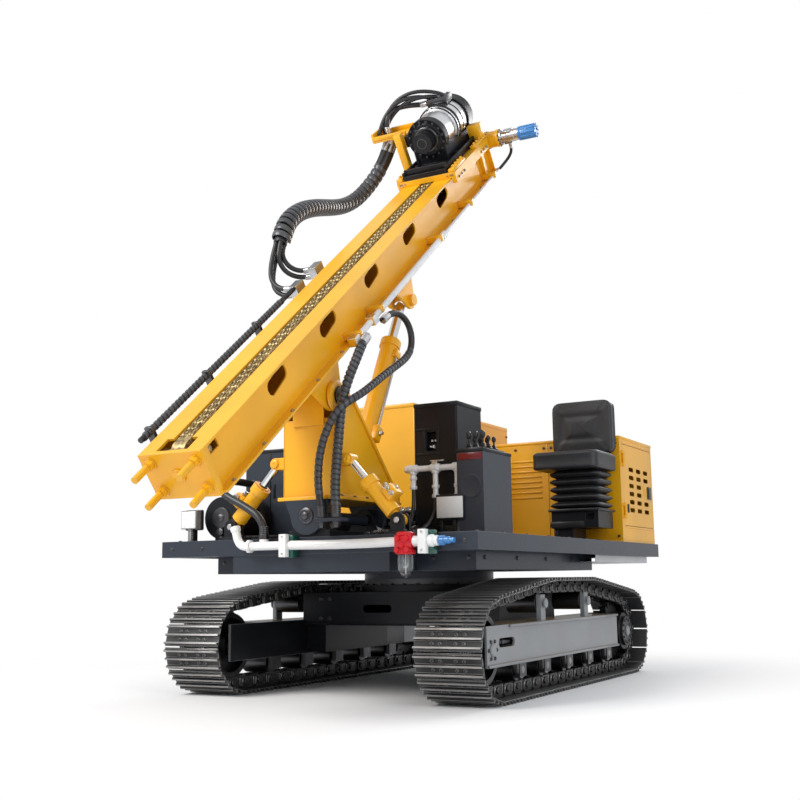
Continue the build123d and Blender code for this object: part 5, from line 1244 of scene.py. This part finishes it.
bank_and_shade_sheet += [soft_box((x, -0.54, 0.868), (x + 0.038, -0.35, 0.96), 0.005) for x in np.arange(-0.01, 0.2, 0.046)]
# the thin black sheet across the deck behind the valve bank is painted shade: it fills the gap under the
# column and makes it dark
bank_and_shade_sheet += [soft_box((-0.6, -0.315, ON_DECK), (0.236, -0.3, 0.978), 0.004)]
piece("valve_bank_and_shade_sheet", bank_and_shade_sheet, "deck", black_paint)
piece("valve_caps", [moved(hexagon, (x + 0.019, y, 0.958), UP) for x in np.arange(-0.01, 0.2, 0.046)
    for y in (-0.51, -0.445, -0.38)] + [moved(hexagon, (x + 0.019, -0.538, z), FRONT)
        for x in np.arange(-0.01, 0.2, 0.046) for z in (0.89, 0.93)], "deck", steel)

# %% [markdown]
# Covers: a blank white plate beside the manifold, the cabinet's recess with its switches, the console's round
# blind disc, latches and lips, and the tank hood's raised seams. None of them carries words.

# %% Covers
LEVERS_X, PLATE_TOP = (0.59, 0.63, 0.67), 1.262  # the three rows of levers and the plate they stand on
SEAM_BACK, SEAM_FRONT = -0.6005, -0.6045  # Y of the seams on the cabinet's front
DOOR_FACE = 0.9095  # X where the trim on the engine door starts, half a millimetre inside it
piece("blank_plate", [soft_box((0.435, -0.7345, 0.9), (0.585, -0.7285, 1.01), 0.002)], "deck", white_plastic)
frame_of_plate = [soft_box((0.428, -0.7285, 0.888), (0.592, -0.7245, 1.022), 0.002),
    soft_box((0.445, -0.726, 0.802), (0.465, -0.7205, 0.9), 0.002),
    soft_box((0.52, -0.726, 0.802), (0.54, -0.7205, 0.9), 0.002),
    soft_box((0.44, -0.716, 0.802), (0.545, -0.64, 0.862), 0.008)]
piece("plate_frame", frame_of_plate, "deck", black_paint)
seams = [soft_box((0.236, -0.604, 1.51), (0.504, -0.296, 1.5335), 0.004)]
seams += [soft_box((x0, SEAM_FRONT, z0), (x1, SEAM_BACK, z1), 0.0015) for x0, x1, z0, z1 in (
    (0.248, 0.392, 1.25, 1.262), (0.248, 0.392, 1.383, 1.395), (0.292, 0.304, 1.258, 1.39),
    (0.378, 0.39, 1.258, 1.39))]
seams += [soft_box((0.546, -0.724, 1.236), (0.704, -0.356, 1.2545), 0.004)]
seams += [soft_box((0.241, -0.6035, 0.812), (0.249, SEAM_BACK, 1.505), 0.001),
    soft_box((0.488, -0.6035, 0.812), (0.496, SEAM_BACK, 1.505), 0.001)]
piece("cabinet_seams", seams, "deck", black_paint)
piece("switches", [soft_box((0.326, -0.59, 1.292), (0.34, -0.556, 1.3), 0.002),
    soft_box((0.346, -0.592, 1.286), (0.354, -0.556, 1.304), 0.002),
    *(turned(button(0.006, 0.01, 0.004, 0.012), 14, (x, -0.56, 1.33), FRONT) for x in (0.332, 0.352))],
    "deck", white_plastic)
disc = [(0, 0), (0.06, 0), (0.062, 0.001), (0.062, 0.0025), (0.058, 0.0032), (0.054, 0.002), (0, 0.002)]
piece("blind_disc", [turned(disc, 48, (0.625, -0.7202, 1.06), FRONT)], "deck", deck_paint)
piece("red_strip", [soft_box((0.556, -0.7235, 1.196), (0.694, -0.7195, 1.232), 0.0015)], "deck", maroon)
knob = spun([(0, 0), (0.006, 0), (0.006, 0.05), (0.012, 0.056), (0.015, 0.068), (0.013, 0.082), (0.006, 0.09),
    (0, 0.091)], 20)
boot = spun([(0, 0), (0.02, 0), (0.021, 0.004), (0.014, 0.01), (0.016, 0.013), (0.01, 0.019), (0.011, 0.022),
    (0.006, 0.027), (0, 0.027)], 20)
piece("levers", [moved(knob, (x, -0.65, PLATE_TOP), UP) for x in LEVERS_X]
    + [moved(boot, (x, y, PLATE_TOP), UP) for x in LEVERS_X for y in (-0.65, -0.58, -0.51)]
    + [moved(knob, (x, y, PLATE_TOP), UP, scale=0.8) for x in LEVERS_X for y in (-0.58, -0.51)]
    + [soft_box((0.566, -0.689, 1.2505), (0.689, -0.401, 1.2625), 0.003)], "deck", black_plastic,
    replaces=["lever_bank"])
hood = [soft_box((-0.7535, 0.066, 1.64), (-0.1215, 1.504, 1.6675), 0.006),
    soft_box((-0.129, 0.069, 0.803), (-0.121, 0.08, 1.64), 0.002),
    soft_box((-0.7535, 0.069, 0.803), (-0.745, 0.08, 1.64), 0.002)]
hood += [soft_box((-0.1255, y, 0.83), (-0.1215, y + 0.008, 1.62), 0.001) for y in (0.545, 1.02)]
hood += [soft_box((-0.064, 0.881, 1.452), (0.914, 1.566, 1.4735), 0.006),
    soft_box((DOOR_FACE, 0.93, 0.892), (0.9125, 1.535, 0.899), 0.001),
    soft_box((DOOR_FACE, 0.93, 1.431), (0.9125, 1.535, 1.438), 0.001),
    soft_box((-0.06, 0.8815, 0.803), (0.91, 0.885, 0.815), 0.001),
    soft_box((0.42, 0.8815, 0.815), (0.428, 0.885, 1.452), 0.001)]
piece("hood_seams", hood, "deck", yellow)
piece("hood_bolts", [bolt(0.007, 0.006, (x, 0.8815, z), FRONT) for x in (-0.04, 0.2, 0.4, 0.45, 0.66, 0.885)
    for z in (0.84, 1.425)] + [bolt(0.007, 0.006, (-0.1215, y, z), RIGHT)
        for y in (0.1, 0.52, 0.58, 0.99, 1.05, 1.48) for z in (0.86, 1.6)], "deck", dark_steel)
louvres = [soft_box((x, 0.879, z), (x + 0.23, 0.885, z + 0.012), 0.003) for x in (0.15, 0.48)
    for z in np.arange(1.1, 1.36, 0.034)]
piece("louvres", louvres, "deck", yellow)
piece("door_blank", [soft_box((DOOR_FACE, 1.36, 1.093), (0.911, 1.47, 1.187), 0.0005)], "engine_door", yellow)
piece("door_latch", [soft_box((0.9105, 1.432, 1.098), (0.9155, 1.518, 1.182), 0.002),
    soft_box((0.915, 1.45, 1.11), (0.9185, 1.48, 1.17), 0.0015),
    soft_box((DOOR_FACE, 0.998, 0.99), (0.9165, 1.024, 1.045), 0.003)], "engine_door", black_plastic)
piece("left_lips", [soft_box((-0.704, -0.864, 1.294), (-0.376, -0.416, 1.3135), 0.004),
    soft_box((-0.536, -0.8635, 0.812), (-0.53, -0.8605, 1.29), 0.001),
    soft_box((-0.512, -0.8665, 1.04), (-0.5, -0.8605, 1.12), 0.002)], "deck", black_paint)

# %% Tank, lamp and deck edge
TANK_X, TANK_Z, TANK_END = -0.627, 0.924, -1.17
bands = [turned([(0.108, 0), (0.1135, 0), (0.1135, 0.03), (0.108, 0.03)], 48, (TANK_X, y, TANK_Z), BACK)
    for y in (-1.13, -0.96)]
piece("tank_bands", bands
    + [turned(button(0.022, 0.014, 0.012, 0.018), 6, (TANK_X, TANK_END, z), FRONT) for z in (TANK_Z, 0.85)]
    + [turned([(0, 0), (0.06, 0), (0.064, 0.004), (0.058, 0.01), (0, 0.012)], 40, (TANK_X, TANK_END, TANK_Z),
        FRONT, scale=0.9)], "deck", dark_steel, slot="black_paint")
piece("lamp_face", [soft_box((-0.801, -1.2885, 0.87), (-0.709, -1.2835, 0.958), 0.003)]
    + [soft_box((-0.797 + 0.0215 * i, -1.29, 0.874 + 0.0205 * k),
        (-0.779 + 0.0215 * i, -1.288, 0.891 + 0.0205 * k), 0.0015) for i in range(4) for k in range(4)],
    "deck", white_plastic)
piece("lamp_case", [soft_box((-0.812, -1.248, 0.86), (-0.698, -1.224, 0.968), 0.008),
    soft_box((-0.772, -1.262, ON_DECK), (-0.738, -1.228, 0.868), 0.003)], "deck", black_plastic)
rim_bolts = [bolt(0.008, 0.006, (x, -1.2902, 0.76), FRONT) for x in (-0.86, -0.66, 0.86)]
rim_bolts += [bolt(0.008, 0.006, (x, -0.9998, 0.69), FRONT) for x in (-0.74, -0.55, 0.55, 0.74)]
rim_bolts += [bolt(0.009, 0.007, (side * 0.7805, y, 0.69), (side, 0, 0)) for side in (-1, 1)
    for y in (-0.9, -0.5, -0.1, 0.3, 0.6)]
rim_bolts += [bolt(0.009, 0.008, (x, y, 0.8022), UP) for x in (-0.88, 0.88)
    for y in (-1.2, -0.9, -0.6, -0.3, 0.0, 0.3)]
for side in (-1, 1):
    rim_bolts += [bolt(0.009, 0.008, (side * 0.495 + dx, SIDE_Y + dy, 0.8142), UP) for dx in (-0.048, 0.048)
        for dy in (-0.042, 0.042)]
piece("deck_bolts", rim_bolts, "deck", dark_steel)
print("deck equipment done")

# %% [markdown]
# The seat: five soft folds of the bellows are rounded rectangles that swell and shrink with height, and the
# cushion and back are padded vinyl.

# %% Seat
def rounded(half_x, half_y, r, steps=6):
    """Rounded rectangle, anticlockwise, as rows of (x, y)."""
    rows = []
    for k, (sx, sy) in enumerate(((1, -1), (1, 1), (-1, 1), (-1, -1))):
        a = np.linspace(-np.pi / 2, 0, steps) + k * np.pi / 2
        rows.append(np.stack([sx * (half_x - r) + r * np.cos(a), sy * (half_y - r) + r * np.sin(a)], -1))
    return np.concatenate(rows)


SEAT = (0.72, 0.68)
heights = np.linspace(1.001, 1.239, 91)
phase = (heights - 1.001) / 0.238
wave = 0.5 - 0.5 * np.cos(2 * np.pi * 5 * phase)
out_by = -0.034 + 0.034 * wave ** 0.45 - 0.012 * np.exp(-phase * 6) * (1 - wave)
rings = []
for z, d in zip(heights, out_by):
    flat = rounded(0.163 + d, 0.148 + d, 0.045)
    dent = 0.004 * np.sin(9 * flat[:, 0] / 0.16 + 31 * z) * (1 + np.sin(7 * flat[:, 1] / 0.15)) * 0.5
    rings.append(np.c_[flat * (1 + dent[:, None]) + SEAT, np.full(len(flat), z) + 0.3 * dent])
piece("seat_bellows_folds", [skin(np.stack(rings, 1), round_u=True, caps=True)], "deck", bellows_rubber, 60,
    "rubber", ["seat_bellows"])


def pad(half_x, half_y, high, crown, pull, channels, r=0.055):
    """Stuffed cushion about its middle, from 0 to high: crowned on top, sides pulled in between its corners.

    Channels are sewn lines across it, each a place along y with a depth, where the top sinks as a groove.
    """
    edge = rounded(half_x, half_y, r, 8)
    x, y = edge.T
    slack = np.stack([np.sign(x) * (np.abs(x) > half_x - r) * (1 - (y / half_y) ** 2),
        np.sign(y) * (np.abs(y) > half_y - r) * (1 - (x / half_x) ** 2)], -1)
    lip = 0.3 * high
    rows = [(s, 0.0, 0.0) for s in (0.02, 0.3, 0.6, 0.85)]
    rows += [(1 - 0.1 * (1 - math.sin(a)) ** 1.5, lip * (1 - math.cos(a)) * 0.5, math.sin(a))
        for a in np.linspace(0.1, 1.57, 7)]
    rows += [(1.0, z, 1.0 + math.sin(math.pi * (z - 0.15 * high) / (0.62 * high)))
        for z in np.linspace(0.2, 0.7, 8) * high]
    rows += [(1 - 0.09 * (1 - math.cos(a)), 0.72 * high + 0.22 * high * math.sin(a), 0.8 * math.cos(a))
        for a in np.linspace(0.2, 1.45, 7)]
    rows += [(s, 0.94 * high, 0.0) for s in (0.86, 0.78, 0.7, 0.6, 0.5, 0.4, 0.3, 0.2, 0.1, 0.02)]
    rings = []
    for s, z, sag in rows:
        p = edge * s - slack * pull * sag
        rise = np.full(len(p), z)
        if z > 0.7 * high:
            rise = rise + crown * (1 - (p[:, 0] / half_x) ** 2) * (1 - (p[:, 1] / half_y) ** 2)
            for at, deep in channels:
                rise = rise - deep * np.exp(-((p[:, 1] - at) / 0.014) ** 2) * np.clip((z / high - 0.7) * 5, 0,
                    1)
            rise = rise + 0.0015 * np.sin(23 * p[:, 0] / half_x + 5 * p[:, 1]) * np.cos(17 * p[:, 1] / half_y)
        rings.append(np.c_[p, rise])
    return skin(np.stack(rings, 1), round_u=True, caps=True)


def welt(half_x, half_y, z, r=0.055, thick=0.0042):
    """Piping sewn round a cushion at a height."""
    edge = rounded(half_x, half_y, r, 8)
    line = np.c_[edge, np.full(len(edge), z)]
    return swept(line, circle(thick, 8), UP, joined=True)


def soften(obj):
    obj.modifiers.new("softer", "SUBSURF").levels = 1
    obj.modifiers["softer"].render_levels = 1
    return obj


seat_at, back_at = (0.695, 0.65, 1.2405), (0.7025, 0.86, 1.5255)
cushion = piece("seat_cushion_pad",
    [moved(pad(0.213, 0.208, 0.112, 0.016, 0.006, ((-0.075, 0.01), (0.075, 0.01))), seat_at)], "deck", vinyl,
    60, "vinyl", ["seat_cushion"])
backrest = piece("seat_back_pad",
    [moved(pad(0.2, 0.173, 0.094, 0.013, 0.006, ((-0.07, 0.009), (0.07, 0.009))), back_at, FRONT, RIGHT)],
    "deck", vinyl, 60, "vinyl", ["seat_back"])
soften(cushion)
soften(backrest)
piece("seat_welts", [moved(welt(0.206, 0.201, 0.086), seat_at), moved(welt(0.206, 0.201, 0.02), seat_at),
    moved(welt(0.193, 0.166, 0.074), back_at, FRONT, RIGHT),
    moved(welt(0.193, 0.166, 0.018), back_at, FRONT, RIGHT)], "deck", vinyl, 60, "vinyl")
piece("seat_rails", [soft_box((0.556, 0.52, 0.985), (0.884, 0.832, 1.0015), 0.006),
    soft_box((0.56, 0.5425, 0.89), (0.78, 0.546, 0.925), 0.002),
    soft_box((0.7, 0.54, 0.802), (0.87, 0.56, 0.812), 0.002)]
    + [soft_box((0.575, 0.566, ON_DECK), (0.6, 0.794, 0.888), 0.003)], "deck", black_plastic)
print("seat done")

# %% [markdown]
# The room is a pale studio: a large soft lamp high on the left as the key, a weaker one on the right, and an
# even pale world. The floor is a plain pale sheet that keeps the machine's shadow near it and melts into the
# white background further out, where the camera would otherwise see a grey horizon.

# %% Room
def pale_room():
    """World whose light on things is soft grey, and which looks white to the camera and in reflections."""
    world = bpy.data.worlds.new("room")
    bpy.context.scene.world = world
    world.use_nodes = True
    tree = world.node_tree
    tree.nodes.clear()
    rays = tree.nodes.new("ShaderNodeLightPath")
    soft, white = tree.nodes.new("ShaderNodeBackground"), tree.nodes.new("ShaderNodeBackground")
    soft.inputs[0].default_value, soft.inputs[1].default_value = (0.93, 0.96, 1.0, 1.0), 0.5
    white.inputs[0].default_value, white.inputs[1].default_value = (1.0, 1.0, 1.0, 1.0), 1.0
    bright = tree.nodes.new("ShaderNodeBackground")
    bright.inputs[0].default_value, bright.inputs[1].default_value = (0.97, 0.98, 1.0, 1.0), 0.72
    shiny = tree.nodes.new("ShaderNodeMixShader")
    mix, out = tree.nodes.new("ShaderNodeMixShader"), tree.nodes.new("ShaderNodeOutputWorld")
    tree.links.new(rays.outputs["Is Glossy Ray"], shiny.inputs[0])
    tree.links.new(soft.outputs[0], shiny.inputs[1])
    tree.links.new(bright.outputs[0], shiny.inputs[2])
    tree.links.new(rays.outputs["Is Camera Ray"], mix.inputs[0])
    tree.links.new(shiny.outputs[0], mix.inputs[1])
    tree.links.new(white.outputs[0], mix.inputs[2])
    tree.links.new(mix.outputs[0], out.inputs[0])


def lamp(name, at, aim, size, power, colour=(1, 1, 1)):
    """Square area lamp that points at a place."""
    light = bpy.data.lights.new(name, "AREA")
    light.size, light.energy, light.color = size, power, colour
    obj = bpy.data.objects.new(name, light)
    obj.rotation_mode = "QUATERNION"
    obj.rotation_quaternion = (Vector(aim) - Vector(at)).to_track_quat("-Z", "Y")
    obj.location = at
    bpy.context.scene.collection.objects.link(obj)


pale_room()
lamp("key", (-3.5, -6.5, 6.5), (0, -0.3, 1.2), 4.0, 700, (1.0, 0.985, 0.96))
lamp("fill", (6.5, -4.0, 3.5), (0.2, 0, 1.2), 4.0, 150, (0.95, 0.975, 1.0))
lamp("rim", (1.0, 6.5, 6.0), (0, 0, 1.5), 4.0, 320)

floor_paint = Paint("pale_floor")
reach = floor_paint.node("VectorMath", {"operation": "LENGTH"}, {0: floor_paint.place}, "Value")
rays = floor_paint.node("LightPath", {}, {}, "Is Camera Ray")
glow = floor_paint.node("Emission", {}, {"Color": (1, 1, 1), "Strength": 1.0})
floor_paint.finish(Base_Color=(0.86, 0.86, 0.865), Roughness=0.8)
lit = Value(floor_paint, floor_paint.shader.outputs[0])
far = floor_paint.node("MixShader", {}, {0: reach.fade(1.6, 3.4) * rays, 1: lit, 2: glow})
out = floor_paint.tree.nodes["Material Output"]
floor_paint.tree.links.new(far.socket, out.inputs["Surface"])
u, v = np.meshgrid(np.linspace(-40, 40, 3), np.linspace(-40, 40, 3), indexing="ij")
points, faces = skin(np.stack([u, v, 0 * u], -1))
mesh = bpy.data.meshes.new("floor")
mesh.from_pydata(points, [], faces)
mesh.materials.append(floor_paint.material)
floor = bpy.data.objects.new("floor", mesh)
bpy.context.scene.collection.objects.link(floor)
bpy.context.scene.view_settings.view_transform = "Standard"
print("room ready")

# %% [markdown]
# Last, the number of added pieces and of their faces is printed.

# %% Finish
print(len(made), "added pieces,", sum(made.values()), "faces")
